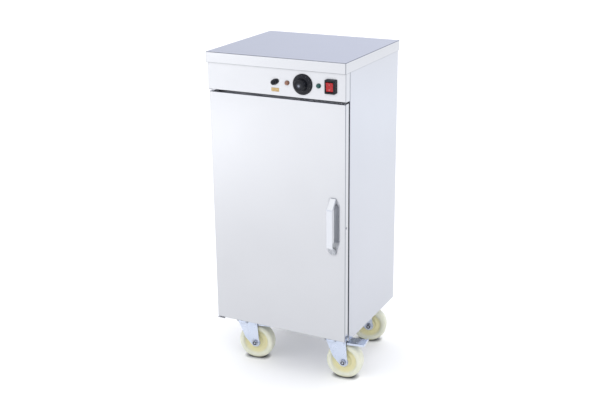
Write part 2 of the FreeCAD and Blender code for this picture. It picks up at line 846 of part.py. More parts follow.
def build_thermostat():
    """Capillary thermostat behind the panel, its shaft, knob and face insert."""
    x = d.knob_x
    z = d.control_line
    inner = d.panel_front + d.sheet
    housing = fuse(
        span_box((x - 19, inner + 5, z - 17), (x + 19, inner + 31, z + 17)),
        rod(5.2, 6, x, inner + 5, z, "-Y"),
        rod(12, 6, x, inner + 31, z, "+Y"),
    )
    housing = cut(housing, rod(3.06, 12.5, x, inner - 2, z, "+Y"))
    piece("thermostat_body", housing)
    shaft = cut(
        rod(3.0, 28, x, inner + 10, z, "-Y"),
        span_box((x - 4, d.panel_front - 20, z + 2.2), (x + 4, d.panel_front - 8, z + 4)),
    )
    piece("thermostat_shaft", shaft)
    tube = fuse(
        rod(1.5, 110, d.sensor_x, d.sensor_y, d.chamber_ceiling - 60),
        rod(4.0, 80, d.sensor_x, d.sensor_y, d.chamber_ceiling - 130),
    )
    piece("sensor_bulb", tube)
    build_knob()


def build_knob():
    """Skirted knob: flat dial, tapered fluted hub and a recess in its face."""
    skirt = d.skirt_radius
    hub = d.hub_radius
    length = d.knob_length
    face = length - 1.5
    body = turned("knob", [
        (3.05, 6.0), (3.05, face - 10), (0, face - 10), (0, face - 3.2), (8.8, face - 3.2), (8.8, face),
        (hub - 4.2, face), (hub - 2.2, face - 1.6), (hub, 7.5), (hub + 1.2, 5.6),
        (skirt - 1.4, 4.0), (skirt, 3.0), (skirt, 0.8), (skirt - 2, 0.8), (skirt - 3, 2.0),
        (9.0, 2.0), (9.0, 6.0),
    ])
    flute = new_sketch(body, "XY_Plane", 7.5)
    ring_line(flute, hub + 0.6, 0, 2.0)
    groove = pocket(body, flute, length, reverse=True)
    ring = body.newObject("PartDesign::PolarPattern", unique("flutes"))
    ring.Originals = [groove]
    ring.Axis = (flute, ["N_Axis"])
    ring.Angle = 360
    ring.Occurrences = 18
    body.Tip = ring
    stand_off(body, d.knob_x, d.control_line)
    cap = turned("knob_cap", [
        (0, face - 3.1), (8.6, face - 3.1), (8.6, face - 1.0), (8.0, face - 0.4), (0, face - 0.4),
    ])
    stand_off(cap, d.knob_x, d.control_line)


def stand_off(obj, x, z, y=None):
    """Turn a part made along +Z to face the front and set it on the panel."""
    obj.Placement = Placement(Vector(), TURNS["-Y"])
    return move(obj, x, d.panel_front if y is None else y, z)


def build_lamps():
    """Two indicator lamps: domed lens in a bezel, bodies behind the panel."""
    for label, x in (("amber_lens", d.amber_x), ("green_lens", d.green_x)):
        radius = d.lamp_radius
        lens = turned(label, [
            (0, 0.2), (radius, 0.2), (radius, 1.8), (radius - 0.7, 2.6), (radius - 1.3, 5.2),
            (radius - 2.8, 7.0), (radius - 5, 7.8), (0, 8.0),
        ])
        stand_off(lens, x, d.control_line)
    bodies = []
    for x in (d.amber_x, d.green_x):
        bodies.append(fuse(
            rod(5.0, 20, x, d.panel_front - 0.1, d.control_line, "+Y"),
            rod(7.2, 2.5, x, d.panel_front + d.sheet + 0.2, d.control_line, "+Y"),
            span_box((x - 2.5, d.panel_front + 19, d.control_line - 0.4),
                     (x - 1.5, d.panel_front + 26, d.control_line + 2.4)),
            span_box((x + 1.5, d.panel_front + 19, d.control_line - 0.4),
                     (x + 2.5, d.panel_front + 26, d.control_line + 2.4)),
        ))
    piece("lamp_bodies", group(*bodies))


def build_rocker():
    """Deep square housing with a tilting button on a cross pin."""
    x = d.rocker_x
    z = d.rocker_z
    half_x = d.rocker_width / 2
    half_z = d.rocker_height / 2
    body = new_body("rocker_housing")
    rim = new_sketch(body, "XZ_Plane", -d.panel_front)
    rectangle(rim, x - half_x, z - half_z, x + half_x, z + half_z)
    pad(body, rim, d.rocker_proud)
    front = d.panel_front - d.rocker_proud
    round_edges(body, 2.4, lambda e: not lies_in(e, "y", d.panel_front))
    rear = new_sketch(body, "XZ_Plane", -d.panel_front)
    rectangle(rear, x - 13.5, z - 16.5, x + 13.5, z + 16.5)
    pad(body, rear, 22, reverse=True)
    well = new_sketch(body, "XZ_Plane", -front)
    rectangle(well, x - 11.4, z - 14.6, x + 11.4, z + 14.6)
    pocket(body, well, 14.5)
    pin = new_sketch(body, "YZ_Plane", x - 13.2)
    ring_line(pin, d.rocker_pivot_y, z, 1.56)
    pocket(body, pin, 26.4, reverse=True)
    button = new_body("rocker_button")
    side = new_sketch(button, "YZ_Plane", x - 10.9)
    outline(side, [
        (front - 2.6, z + 12.9), (front + 0.4, z + 4.5), (front + 0.4, z - 4.5),
        (front + 0.8, z - 13.2), (front + 5.5, z - 12.2), (front + 8.4, z - 4),
        (front + 8.4, z + 4), (front + 4.0, z + 12.6),
    ])
    pad(button, side, 21.8)
    axle = new_sketch(button, "YZ_Plane", x - 13.0)
    ring_line(axle, d.rocker_pivot_y, z, 1.5)
    pad(button, axle, 26)
    round_edges(button, 1.0, lambda e: (
        e.BoundBox.XLength > 20 and e.BoundBox.YMax < front.value + 1.5))


def build_fuse():
    """Panel fuse holder, its screw cap and the glass fuse inside."""
    x = d.fuse_x
    z = d.control_line
    radius = d.fuse_radius
    face = d.panel_front
    holder = fuse(
        rod(radius, 3.0, x, face, z, "-Y"),
        rod(6.0, 26, x, face, z, "+Y"),
        hexagon(9.0, 3.5, x, face + d.sheet + 0.2, z, "+Y"),
    )
    holder = cut(holder, rod(4.3, 26, x, face - 4, z, "+Y"))
    piece("fuse_holder", holder)
    cap = turned("fuse_cap", [
        (0, 3.4), (7.6, 3.4), (7.6, 11.0), (6.8, 13.6), (5.0, 15.2), (0, 15.6),
    ])
    stem = new_sketch(cap, "XY_Plane", 3.4)
    ring_line(stem, 0, 0, 4.2)
    pad(cap, stem, 5.2, reverse=True)
    slot = new_sketch(cap, "XY_Plane", 15.6)
    rectangle(slot, -5.6, -0.8, 5.6, 0.8)
    pocket(cap, slot, 2.4)
    stand_off(cap, x, z)
    cartridge = fuse(
        rod(2.5, 5, x, face + 2.3, z, "+Y"),
        rod(2.2, 18, x, face + 3, z, "+Y"),
        rod(2.5, 5, x, face + 16.4, z, "+Y"),
    )
    piece("fuse_cartridge", cartridge)
    plate = new_body("label_plate")
    face_sketch = new_sketch(plate, "XZ_Plane", -face)
    rectangle(face_sketch, d.label_x - 12.3, d.label_z - 5.5, d.label_x + 12.3, d.label_z + 5.5)
    pad(plate, face_sketch, 0.5)
    round_edges(plate, 1.2, lambda e: near(e.BoundBox.XLength, 0) and near(e.BoundBox.ZLength, 0))


# ------------------------------------------------------------ chamber parts


def build_shelves():
    """Three wire shelves: a round frame with grid wires across it."""
    half_x = d.shelf_width / 2
    half_y = d.shelf_depth / 2
    middle_y = 4
    radius = d.frame_wire
    shelves = []
    for level in range(3):
        z = d.shelf_low + level * d.shelf_pitch
        wires = [
            rod(radius, d.shelf_width, -half_x, middle_y - half_y, z, "+X"),
            rod(radius, d.shelf_width, -half_x, middle_y + half_y, z, "+X"),
            rod(radius, d.shelf_depth, -half_x, middle_y - half_y, z, "+Y"),
            rod(radius, d.shelf_depth, half_x, middle_y - half_y, z, "+Y"),
        ]
        for i in (-1, 1):
            for j in (-1, 1):
                ball = doc.addObject("Part::Sphere", unique("corner"))
                bind(ball, "Radius", radius)
                wires.append(move(ball, i * half_x, middle_y + j * half_y, z))
        wires.append(rod(2.2, d.shelf_width - 10, 5 - half_x, middle_y, z - 2.0, "+X"))
        count = int(VALUES["shelf_width"] / VALUES["grid_pitch"])
        for k in range(1, count + 1):
            x = (k - (count + 1) / 2) * d.grid_pitch
            wires.append(rod(d.grid_wire, d.shelf_depth, x, middle_y - half_y, z + 1.2, "+Y"))
        shelves.append(fuse(*wires))
    piece("shelves", group(*shelves))


def build_racks():
    """Side racks: two uprights with angle runners that carry the shelves."""
    sides = []
    for side in (-1, 1):
        wall = side * (d.liner_half_width - 0.2)
        upright = side * (d.liner_half_width - 2.2)
        runner = side * (d.liner_half_width - 17)
        low = d.chamber_floor + 60
        high = d.chamber_ceiling - 40
        bars = []
        for y in (-110, 120):
            bars.append(span_box(*ordered(wall, upright, y - 9, y + 9, low, high)))
        levels = [d.shelf_low + k * d.shelf_pitch for k in (-0.5, 0, 0.5, 1, 1.5, 2, 2.5)]
        for z in levels:
            under = z - d.frame_wire - 0.1
            ledge = ordered(wall, runner, -140, 148, under - 1.2, under)
            web = ordered(wall, upright, -140, 148, under - 1.2, under + 12)
            bars.append(span_box(*ledge))
            bars.append(span_box(*web))
        sides.append(fuse(*bars))
    piece("shelf_racks", group(*sides))


def ordered(x_a, x_b, y_low, y_high, z_low, z_high):
    """Two corners of a block whose x sizes may come in either order."""
    if x_a.value > x_b.value:
        x_a, x_b = x_b, x_a
    return (x_a, y_low, z_low), (x_b, y_high, z_high)


def build_heater():
    """Two-leg tubular element on the chamber floor under a perforated guard."""
    z = d.chamber_floor + 22
    radius = d.element_radius
    tubes = []
    reach = 190
    start = d.liner_back_face - 4
    span = d.element_span / 2
    for offset in (-span, span):
        for leg in (-22, 22):
            tubes.append(rod(radius, reach, offset + leg, start, z, "-Y"))
        bend = doc.addObject("Part::Torus", unique("bend"))
        bend.Angle3 = 180
        bend.Placement = Placement(Vector(), Rotation(Z_AXIS, 180))
        bind(bend, "Radius1", 22)
        bind(bend, "Radius2", radius)
        tubes.append(move(bend, offset, start - reach, z))
    tubes.append(span_box((-82, d.liner_back_face - 4.2, z - 14), (82, d.liner_back_face - 0.2, z + 14)))
    piece("heating_element", fuse(*tubes))
    guard = new_body("heater_guard")
    half = 160
    top = d.guard_top
    wall = d.thin_sheet
    floor = d.chamber_floor + 0.2
    profile = new_sketch(guard, "XZ_Plane", 130)
    outline(profile, [
        (-half - 14, floor), (-half, floor), (-half, top - wall), (half, top - wall),
        (half, floor), (half + 14, floor), (half + 14, floor + wall), (half + wall, floor + wall),
        (half + wall, top), (-half - wall, top), (-half - wall, floor + wall), (-half - 14, floor + wall),
    ])
    pad(guard, profile, 270, reverse=True)
    slots = new_sketch(guard, "XY_Plane", top)
    for k in range(5):
        rectangle(slots, -150 + 62 * k, -118, -102 + 62 * k, -112)
    hole = pocket(guard, slots, wall)
    row_pattern(guard, hole, slots, "V_Axis", 234, 14)


def build_water_pan():
    """Shallow folded pan that stands on the heater guard."""
    body = new_body("water_pan")
    base = d.guard_top + 0.2
    block = new_sketch(body, "XY_Plane", base)
    rectangle(block, -130, -100, 130, 90)
    pad(body, block, d.pan_height)
    round_edges(body, 8, upright)
    hollow = new_sketch(body, "XY_Plane", base + d.thin_sheet)
    rectangle(hollow, -128.8, -98.8, 128.8, 88.8)
    pocket(body, hollow, d.pan_height, reverse=True)
    rim = new_sketch(body, "XY_Plane", base + d.pan_height)
    rectangle(rim, -138, -108, 138, 98)
    rectangle(rim, -129.2, -99.2, 129.2, 89.2)
    pad(body, rim, 1.2, reverse=True)


def build_gland():
    """Hexagonal cable gland through the back panel, open right through."""
    x = d.gland_x
    z = d.gland_z
    back = d.body_back
    gland = fuse(
        rod(10.0, 12, x, back + 0.5, z, "-Y"),
        hexagon(14.0, 6.5, x, back, z, "+Y"),
        rod(11.0, 2.0, x, back + 6.5, z, "+Y"),
        hexagon(13.0, 8.5, x, back + 8.5, z, "+Y"),
        cone(11.0, 7.5, 7, x, back + 17, z, "+Y"),
        hexagon(13.5, 4.0, x, back - d.thin_sheet, z, "-Y"),
    )
    bore = rod(d.gland_bore, 60, x, back - 20, z, "+Y")
    piece("cable_gland", cut(gland, bore))


def build_panel_screws():
    """Pan-head screws of the back panel and of the control panel flange."""
    screws = []
    for x, z in rear_screw_points():
        screws.append(fuse(
            rod(2.0, 7, x, d.body_back + 0.1, z, "-Y"),
            cone(4.0, 3.0, 2.0, x, d.body_back, z, "+Y"),
        ))
    for x, y in flange_screw_points():
        screws.append(fuse(
            rod(2.0, 7, x, y, d.panel_bottom - 0.1),
            cone(3.8, 3.0, 1.9, x, y, d.panel_bottom, "-Z"),
        ))
    piece("panel_screws", group(*screws))


# ----------------------------------------------------------------- casters


def at_caster(obj, x, y, yaw, along=0, height=0):
    """Place a part made in the caster's own frame, turned to its rest yaw."""
    turn = Rotation(Z_AXIS, yaw.value)
    offset = turn.multVec(Vector(size(along).value, 0, size(height).value))
    obj.Placement = Placement(Vector(x.value, y.value, 0) + offset, turn)
    heading = "%s * 1 deg" % yaw.text
    bind(obj, "Placement.Base.z", height)
    shift = size(along).text
    obj.setExpression("Placement.Base.x", "%s + %s * cos(%s)" % (x.text, shift, heading))
    obj.setExpression("Placement.Base.y", "%s + %s * sin(%s)" % (y.text, shift, heading))
    return obj


def build_caster_plate(x, y):
    """Fixed plate with the upper ball race and the king pin."""
    top = d.body_bottom
    plate_low = top - 3
    long = d.plate_long / 2
    wide = d.plate_wide / 2
    race = d.yoke_top + 7.5 + d.plate_top_gap
    plate = span_box((x - long, y - wide, plate_low), (x + long, y + wide, top))
    solid = fuse(
        plate,
        cone(30, 26, plate_low - race, x, y, race),
        rod(6.0, plate_low - d.yoke_top + 7.5, x, y, plate_low, "-Z"),
        hexagon(9.5, 4.0, x, y, d.yoke_top - d.leg_sheet - 0.5, "-Z"),
    )
    holes = []
    for i in (-1, 1):
        for j in (-1, 1):
            bolt_x = x + i * d.bolt_span_long / 2
            bolt_y = y + j * d.bolt_span_wide / 2
            holes.append(rod(d.bolt_radius + 0.3, 5, bolt_x, bolt_y, plate_low - 1))
    return cut(solid, *holes)


def build_fork(label, braked):
    """Pressed fork in its own frame: yoke, lower race and two tapered legs."""
    body = new_body(label)
    top = d.yoke_top
    sheet_t = d.leg_sheet
    outer = d.leg_gap / 2 + sheet_t
    yoke = new_sketch(body, "XY_Plane", top - sheet_t)
    rectangle(yoke, -17, -outer, 30, outer)
    pad(body, yoke, sheet_t)
    race = new_sketch(body, "XY_Plane", top - sheet_t)
    ring_line(race, 0, 0, 30)
    pad(body, race, sheet_t + 4)
    crown = new_sketch(body, "XY_Plane", top + 4)
    ring_line(crown, 0, 0, 27)
    pad(body, crown, 3.5)
    for start in (outer, sheet_t - outer):
        leg = new_sketch(body, "XZ_Plane", start - sheet_t)
        outline(leg, [
            (-17, top), (46, top), (d.trail + 14, d.wheel_radius + 1),
            (d.trail, d.wheel_radius - 14), (d.trail - 10, d.wheel_radius - 9.8), (5, 73),
        ])
        pad(body, leg, sheet_t)
        tip = new_sketch(body, "XZ_Plane", start - sheet_t)
        ring_line(tip, d.trail, d.wheel_radius, 14)
        pad(body, tip, sheet_t)
    axle = new_sketch(body, "XZ_Plane", outer)
    ring_line(axle, d.trail, d.wheel_radius, d.axle_radius + 0.15)
    if braked:
        ring_line(axle, d.pedal_pivot_x, d.pedal_pivot_z, 2.56)
    pocket(body, axle, 2 * outer)
    king = new_sketch(body, "XY_Plane", top - sheet_t)
    ring_line(king, 0, 0, 6.06)
    pocket(body, king, 20, reverse=True)
    return body


def build_wheel(label):
    """One-piece nylon wheel: rounded tread, dished sides and a raised hub."""
    radius = d.wheel_radius
    half = d.wheel_width / 2
    hub = d.hub_half
    bore = d.axle_radius + d.axle_running_gap
    right = [
        (hub, bore), (hub, 11), (half - 3, 13), (half - 7.5, d.dish_inner), (half - 7.5, d.dish_outer),
        (half - 1, d.tread_edge - 8), (half, d.tread_edge - 6.5), (half, d.tread_edge), (half - 2, radius - 2.4), (half - 6, radius),
    ]
    left = [(-x, y) for x, y in reversed(right)]
    body = turned(label, right + left, axis="H_Axis", role="YZ_Plane")
    rings = (radius.value, VALUES["tread_edge"], VALUES["dish_outer"], VALUES["dish_inner"])
    round_edges(body, 2.0, lambda e: (
        e.BoundBox.YLength < 0.01 and any(near(e.BoundBox.ZMax, r) for r in rings)))
    return body


def build_axle():
    """Hex bolt through the fork with its nut, two washers and two spacer rings."""
    outer = d.leg_gap / 2 + d.leg_sheet
    spacer = d.leg_gap / 2 - d.hub_half - 0.4
    return fuse(
        rod(d.axle_radius, 2 * outer + 9.5, 0, -outer - 1.5, 0, "+Y"),
        rod(9.5, 1.4, 0, -outer - 1.5, 0, "+Y"),
        hexagon(8.4, 5.0, 0, -outer - 1.5, 0, "-Y"),
        rod(9.5, 1.4, 0, outer + 0.1, 0, "+Y"),
        hexagon(8.4, 5.4, 0, outer + 1.5, 0, "+Y"),
        rod(16.0, spacer, 0, -d.leg_gap / 2, 0, "+Y"),
        rod(16.0, spacer, 0, d.leg_gap / 2, 0, "-Y"),
    )


def build_pedal():
    """Foot brake: wide tread plate with a lip, cheeks, shoe and pivot pin."""
    z = d.pedal_pivot_z
    x = d.pedal_pivot_x
    low = 121
    tread = span_box((48, -21, low), (104, 21, low + 2.5))
    lip = span_box((102.5, -21, low), (106, 21, low + 6.5))
    rib_left = span_box((56, -21, low - 3.5), (104, -18.5, low))
    rib_right = span_box((56, 18.5, low - 3.5), (104, 21, low))
    cheeks = []
    for side in (-18.6, 18.6):
        cheeks.append(span_box((x - 6, side - 1.25, z - 4.5), (x + 7, side + 1.25, z + 4.5)))
        cheeks.append(span_box((x - 6, side - 1.25, z - 4.5), (66, side + 1.25, low + 1)))
    shoe = span_box((54, -15, low - 4), (66, 15, low + 1))
    outer = d.leg_gap / 2 + d.leg_sheet
    pin = rod(2.5, 2 * outer + 2, x, -outer - 1, z, "+Y")
    return fuse(tread, lip, rib_left, rib_right, shoe, pin, *cheeks)


def build_casters():
    plates = []
    for name, x, y, yaw in caster_points():
        braked = name in ("fl", "fr")
        plates.append(build_caster_plate(x, y))
        at_caster(build_fork("caster_fork_" + name, braked), x, y, yaw)
        at_caster(build_wheel("caster_wheel_" + name), x, y, yaw, d.trail, d.wheel_radius)
        axle = piece("caster_axle_" + name, build_axle())
        at_caster(axle, x, y, yaw, d.trail, d.wheel_radius)
        if braked:
            at_caster(piece("brake_pedal_" + name, build_pedal()), x, y, yaw)
    piece("caster_plates", group(*plates))
    bolts = []
    for x, y in caster_bolt_points():
        plate_low = d.body_bottom - 3
        bolts.append(fuse(
            rod(d.bolt_radius, 17, x, y, plate_low - 5),
            hexagon(7.5, 5.3, x, y, plate_low, "-Z"),
            hexagon(7.5, 6.0, x, y, d.body_bottom + d.base_sheet),
        ))
    piece("caster_bolts", group(*bolts))


build_top_cover()
build_side_panel("side_panel_left", -1)
build_side_panel("side_panel_right", 1)
build_front_rail()
build_rear_panel()
build_base_tray()
build_control_panel()
build_control_deck()
build_liner()
build_insulation()
build_door_skin()
build_door_inside()
build_gasket()
build_handle()
build_hinges()
build_thermostat()
build_lamps()
build_rocker()
build_fuse()
build_shelves()
build_racks()
build_heater()
build_water_pan()
build_gland()
build_panel_screws()
build_casters()
doc.recompute()

faults = []
for obj in doc.Objects:
    if "Invalid" in obj.State or "Error" in obj.State:
        faults.append("%s (%s): %s" % (obj.Name, obj.Label, obj.State))
for label, obj in pieces.items():
    if obj.Shape.isNull() or not obj.Shape.isValid() or not obj.Shape.Solids:
        faults.append("%s has no valid solid" % label)
if faults:
    raise RuntimeError("\n".join(faults))

os.makedirs("parts", exist_ok=True)
for label, obj in pieces.items():
    obj.Shape.exportStep("parts/%s.step" % label)
    box = obj.Shape.BoundBox
    print("%-20s solids %d  x %.1f %.1f  y %.1f %.1f  z %.1f %.1f  volume %.0f" % (
        label, len(obj.Shape.Solids), box.XMin, box.XMax, box.YMin, box.YMax,
        box.ZMin, box.ZMax, obj.Shape.Volume))
print("%d nodes written" % len(pieces))
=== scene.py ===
import json
import math

import bmesh
import bpy
from mathutils import Matrix, Vector


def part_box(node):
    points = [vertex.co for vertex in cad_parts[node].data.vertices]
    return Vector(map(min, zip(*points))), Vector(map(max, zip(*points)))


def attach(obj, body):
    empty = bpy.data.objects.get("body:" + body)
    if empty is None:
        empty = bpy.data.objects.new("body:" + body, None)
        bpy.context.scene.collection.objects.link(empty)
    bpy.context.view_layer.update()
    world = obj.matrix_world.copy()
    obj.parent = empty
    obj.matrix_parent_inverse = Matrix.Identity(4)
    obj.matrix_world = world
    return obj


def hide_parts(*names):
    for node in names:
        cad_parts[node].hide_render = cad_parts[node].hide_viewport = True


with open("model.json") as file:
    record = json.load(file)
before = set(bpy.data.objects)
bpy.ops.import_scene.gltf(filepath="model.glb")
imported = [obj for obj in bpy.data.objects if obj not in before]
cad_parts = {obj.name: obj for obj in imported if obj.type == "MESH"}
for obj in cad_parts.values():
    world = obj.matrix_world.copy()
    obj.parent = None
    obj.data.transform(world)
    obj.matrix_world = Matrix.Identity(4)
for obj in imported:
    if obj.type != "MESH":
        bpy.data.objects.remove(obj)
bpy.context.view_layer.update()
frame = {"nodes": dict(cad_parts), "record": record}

NODES = frame["nodes"]
RECORD = frame["record"]
JOINTS = {joint["name"]: joint for joint in RECORD["behaviour"]["joints"]}
BODY_OF = {node: body for body, nodes in RECORD["behaviour"]["bodies"].items() for node in nodes}
SLOT_OF = {part["node"]: part["material_slot"] for part in RECORD["subparts"]}
SCENE = bpy.context.scene
MM = 0.001
FRONT = Vector((0.0, -1.0, 0.0))
BACK = Vector((0.0, 1.0, 0.0))
UP = Vector((0.0, 0.0, 1.0))
RIGHT = Vector((1.0, 0.0, 0.0))


# ------------------------------------------------------------------ camera


def add_camera():
    """Camera to the right of the front and above it, looking down at the cabinet."""
    azimuth = math.radians(26.905)
    elevation = math.radians(18.811)
    roll = math.radians(-0.642)
    distance = 3.199234
    aim = Vector((0.0, 0.0, 0.5))
    shift_right = -0.019484
    shift_up = 0.011469
    focal_length = 60.9615
    sensor_width = 36.0
    far_clip = 60.0
    back = Vector((
        math.sin(azimuth) * math.cos(elevation),
        -math.cos(azimuth) * math.cos(elevation),
        math.sin(elevation),
    ))
    right = Vector((math.cos(azimuth), math.sin(azimuth), 0.0))
    up = back.cross(right)
    turned_right = math.cos(roll) * right + math.sin(roll) * up
    turned_up = math.cos(roll) * up - math.sin(roll) * right
    place = aim + shift_right * right + shift_up * up + distance * back
    data = bpy.data.cameras.new("camera")
    data.lens = focal_length
    data.sensor_width = sensor_width
    data.clip_end = far_clip
    camera = bpy.data.objects.new("camera", data)
    camera.matrix_world = Matrix((
        (turned_right.x, turned_up.x, back.x, place.x),
        (turned_right.y, turned_up.y, back.y, place.y),
        (turned_right.z, turned_up.z, back.z, place.z),
        (0.0, 0.0, 0.0, 1.0),
    ))
    SCENE.collection.objects.link(camera)
    SCENE.camera = camera


# --------------------------------------------------------------- materials


def scaled(colour, factor):
    """A colour made brighter or darker, held at white."""
    return tuple(min(1.0, channel * factor) for channel in colour)


class Graph:
    """Small helper that wires a node material."""

    def __init__(self, name):
        self.material = bpy.data.materials.new(name)
        self.material.use_nodes = True
        self.tree = self.material.node_tree
        self.tree.nodes.clear()
        self.out = self.tree.nodes.new("ShaderNodeOutputMaterial")
        self.shader = self.tree.nodes.new("ShaderNodeBsdfPrincipled")
        self.link(self.shader.outputs[0], self.out.inputs["Surface"])
        source = self.tree.nodes.new("ShaderNodeTexCoord")
        self.coords = source.outputs["Object"]
        self.normal = source.outputs["Normal"]

    def link(self, source, target):
        self.tree.links.new(source, target)

    def set(self, **values):
        """Plain values on the shader's own sockets."""
        for key, value in values.items():
            self.shader.inputs[key.replace("_", " ")].default_value = value

    def to(self, socket, value):
        self.link(value, self.shader.inputs[socket])

    def stretched(self, scale=(1, 1, 1), turn=(0, 0, 0)):
        node = self.tree.nodes.new("ShaderNodeMapping")
        node.inputs["Scale"].default_value = scale
        node.inputs["Rotation"].default_value = turn
        self.link(self.coords, node.inputs["Vector"])
        return node.outputs[0]

    def noise(self, scale, detail=4.0, rough=0.55, vector=None, distortion=0.0):
        node = self.tree.nodes.new("ShaderNodeTexNoise")
        node.inputs["Scale"].default_value = scale
        node.inputs["Detail"].default_value = detail
        node.inputs["Roughness"].default_value = rough
        node.inputs["Distortion"].default_value = distortion
        self.link(vector or self.coords, node.inputs["Vector"])
        return node.outputs["Fac"]

    def cells(self, scale, vector=None):
        node = self.tree.nodes.new("ShaderNodeTexVoronoi")
        node.inputs["Scale"].default_value = scale
        self.link(vector or self.coords, node.inputs["Vector"])
        return node.outputs["Distance"]

    def ramp(self, value, low, high, start=0.0, end=1.0):
        node = self.tree.nodes.new("ShaderNodeMapRange")
        node.clamp = True
        node.inputs["From Min"].default_value = start
        node.inputs["From Max"].default_value = end
        node.inputs["To Min"].default_value = low
        node.inputs["To Max"].default_value = high
        self.link(value, node.inputs["Value"])
        return node.outputs[0]

    def mix(self, value, first, second):
        """Colour mix of two plain colours or sockets."""
        node = self.tree.nodes.new("ShaderNodeMix")
        node.data_type = "RGBA"
        self.link(value, node.inputs["Factor"])
        for socket, colour in ((node.inputs[6], first), (node.inputs[7], second)):
            if isinstance(colour, (tuple, list)):
                socket.default_value = (*colour[:3], 1.0)
            else:
                self.link(colour, socket)
        return node.outputs[2]

    def math(self, operation, first, second=0.0):
        node = self.tree.nodes.new("ShaderNodeMath")
        node.operation = operation
        for socket, value in zip(node.inputs, (first, second)):
            if isinstance(value, (int, float)):
                socket.default_value = value
            else:
                self.link(value, socket)
        return node.outputs[0]

    def split(self, vector):
        node = self.tree.nodes.new("ShaderNodeSeparateXYZ")
        self.link(vector, node.inputs[0])
        return node.outputs

    def edges(self, radius=0.0015):
        """1 on worn corners and 0 on flats, from a bevelled normal."""
        bevel = self.tree.nodes.new("ShaderNodeBevel")
        bevel.samples = 4
        bevel.inputs["Radius"].default_value = radius
        geometry = self.tree.nodes.new("ShaderNodeNewGeometry")
        dot = self.tree.nodes.new("ShaderNodeVectorMath")
        dot.operation = "DOT_PRODUCT"
        self.link(bevel.outputs[0], dot.inputs[0])
        self.link(geometry.outputs["Normal"], dot.inputs[1])
        return self.ramp(dot.outputs["Value"], 1.0, 0.0, 0.80, 0.995)

    def folds(self, full=0.90, bare=0.997):
        """1 on the rounded folds of a sheet whose flats face the axes."""
        highest = None
        for part in self.split(self.normal):
            size = self.math("ABSOLUTE", part)
            highest = size if highest is None else self.math("MAXIMUM", highest, size)
        return self.ramp(highest, 1.0, 0.0, full, bare)

    def hollows(self, reach):
        """1 in corners and recesses, 0 in the open."""
        node = self.tree.nodes.new("ShaderNodeAmbientOcclusion")
        node.samples = 6
        node.inputs["Distance"].default_value = reach
        return self.ramp(node.outputs["AO"], 1.0, 0.0, 0.30, 0.95)

    def bump(self, height, strength, distance, after=None):
        node = self.tree.nodes.new("ShaderNodeBump")
        node.inputs["Strength"].default_value = strength
        node.inputs["Distance"].default_value = distance
        self.link(height, node.inputs["Height"])
        if after is not None:
            self.link(after, node.inputs["Normal"])
        self.link(node.outputs[0], self.shader.inputs["Normal"])
        return node.outputs[0]


def sheet_steel(name, colour, rough, grain=(1, 1, 60), wave=0.0006, corner_shade=0.8):
    """Stainless sheet: fine grain, slow waviness, wiping marks, scratches, painted shade on the folds and in
    the corners.
    """
    smudge = 0.03
    fold_shade = 0.9
    corner_reach = 0.010
    grain_depth = 0.00002
    g = Graph(name)
    g.set(Metallic=1.0, Anisotropic=0.25)
    cloud = g.noise(3.2, 3.0, 0.5)
    wipe = g.noise(9.0, 5.0, 0.6, g.stretched((1, 1, 0.35), (0.0, 0.25, 0.3)), 0.6)
    lines = g.noise(900.0, 2.0, 0.5, g.stretched(grain))
    tone = g.mix(g.ramp(cloud, 0.0, 1.0, 0.3, 0.7), scaled(colour, 0.95), colour)
    tone = g.mix(g.ramp(lines, 0.0, 0.25, 0.35, 0.65), tone, scaled(colour, 1.10))
    tone = g.mix(g.math("MULTIPLY", g.edges(), 0.35), tone, scaled(colour, 1.25))
    # Painted shade: the rounded folds get a darker, cooler tone that stands in for the darker reflection they
    # catch.
    fold_shade_colour = (colour[0] * 0.24, colour[1] * 0.26, colour[2] * 0.31)
    tone = g.mix(g.math("MULTIPLY", g.folds(), fold_shade), tone, fold_shade_colour)
    # Painted shade: corners and recesses are darkened where less light reaches them.
    tone = g.mix(g.math("MULTIPLY", g.hollows(corner_reach), corner_shade), tone, scaled(colour, 0.10))
    g.to("Base Color", tone)
    marks = g.ramp(wipe, rough - smudge, rough + smudge, 0.35, 0.7)
    g.to("Roughness", g.math("ADD", marks, g.ramp(lines, -0.01, 0.02, 0.3, 0.7)))
    slow = g.bump(g.noise(2.1, 1.0, 0.4), 0.35, wave)
    fine = g.bump(lines, 0.18, grain_depth, slow)
    scratch = g.noise(220.0, 1.0, 0.4, g.stretched((1, 1, 0.04), (0.4, 0.1, 0.0)))
    g.bump(g.ramp(scratch, 0.0, 1.0, 0.70, 0.74), 0.06, grain_depth, fine)
    return g.material


def plain_metal(name, colour, rough, scale=60.0, depth=0.00006, spots=None, spread=0.08, fold_shade=0.0,
                corner_shade=0.0):
    """Plated or cast metal with a mottled tone, rubbed edges and, if asked, painted shade on folds and in
    corners.
    """
    g = Graph(name)
    g.set(Metallic=1.0)
    cloud = g.noise(scale, 5.0, 0.6)
    broad = g.noise(scale * 0.2, 3.0, 0.5)
    tone = g.mix(g.ramp(broad, 0.0, 1.0, 0.35, 0.68), spots or scaled(colour, 0.8), colour)
    tone = g.mix(g.ramp(cloud, 0.0, 0.35, 0.4, 0.7), tone, scaled(colour, 1.08))
    tone = g.mix(g.math("MULTIPLY", g.edges(0.0006), 0.5), tone, scaled(colour, 1.15))
    # Painted shade on the folds, when asked.
    if fold_shade:
        tone = g.mix(g.math("MULTIPLY", g.folds(0.80, 0.955), fold_shade), tone, scaled(colour, 0.25))
    # Painted shade in corners and recesses, when asked.
    if corner_shade:
        tone = g.mix(g.math("MULTIPLY", g.hollows(0.012), corner_shade), tone, scaled(colour, 0.12))
    g.to("Base Color", tone)
    g.to("Roughness", g.ramp(cloud, rough - spread, rough + spread, 0.3, 0.7))
    g.bump(cloud, 0.3, depth)
    return g.material


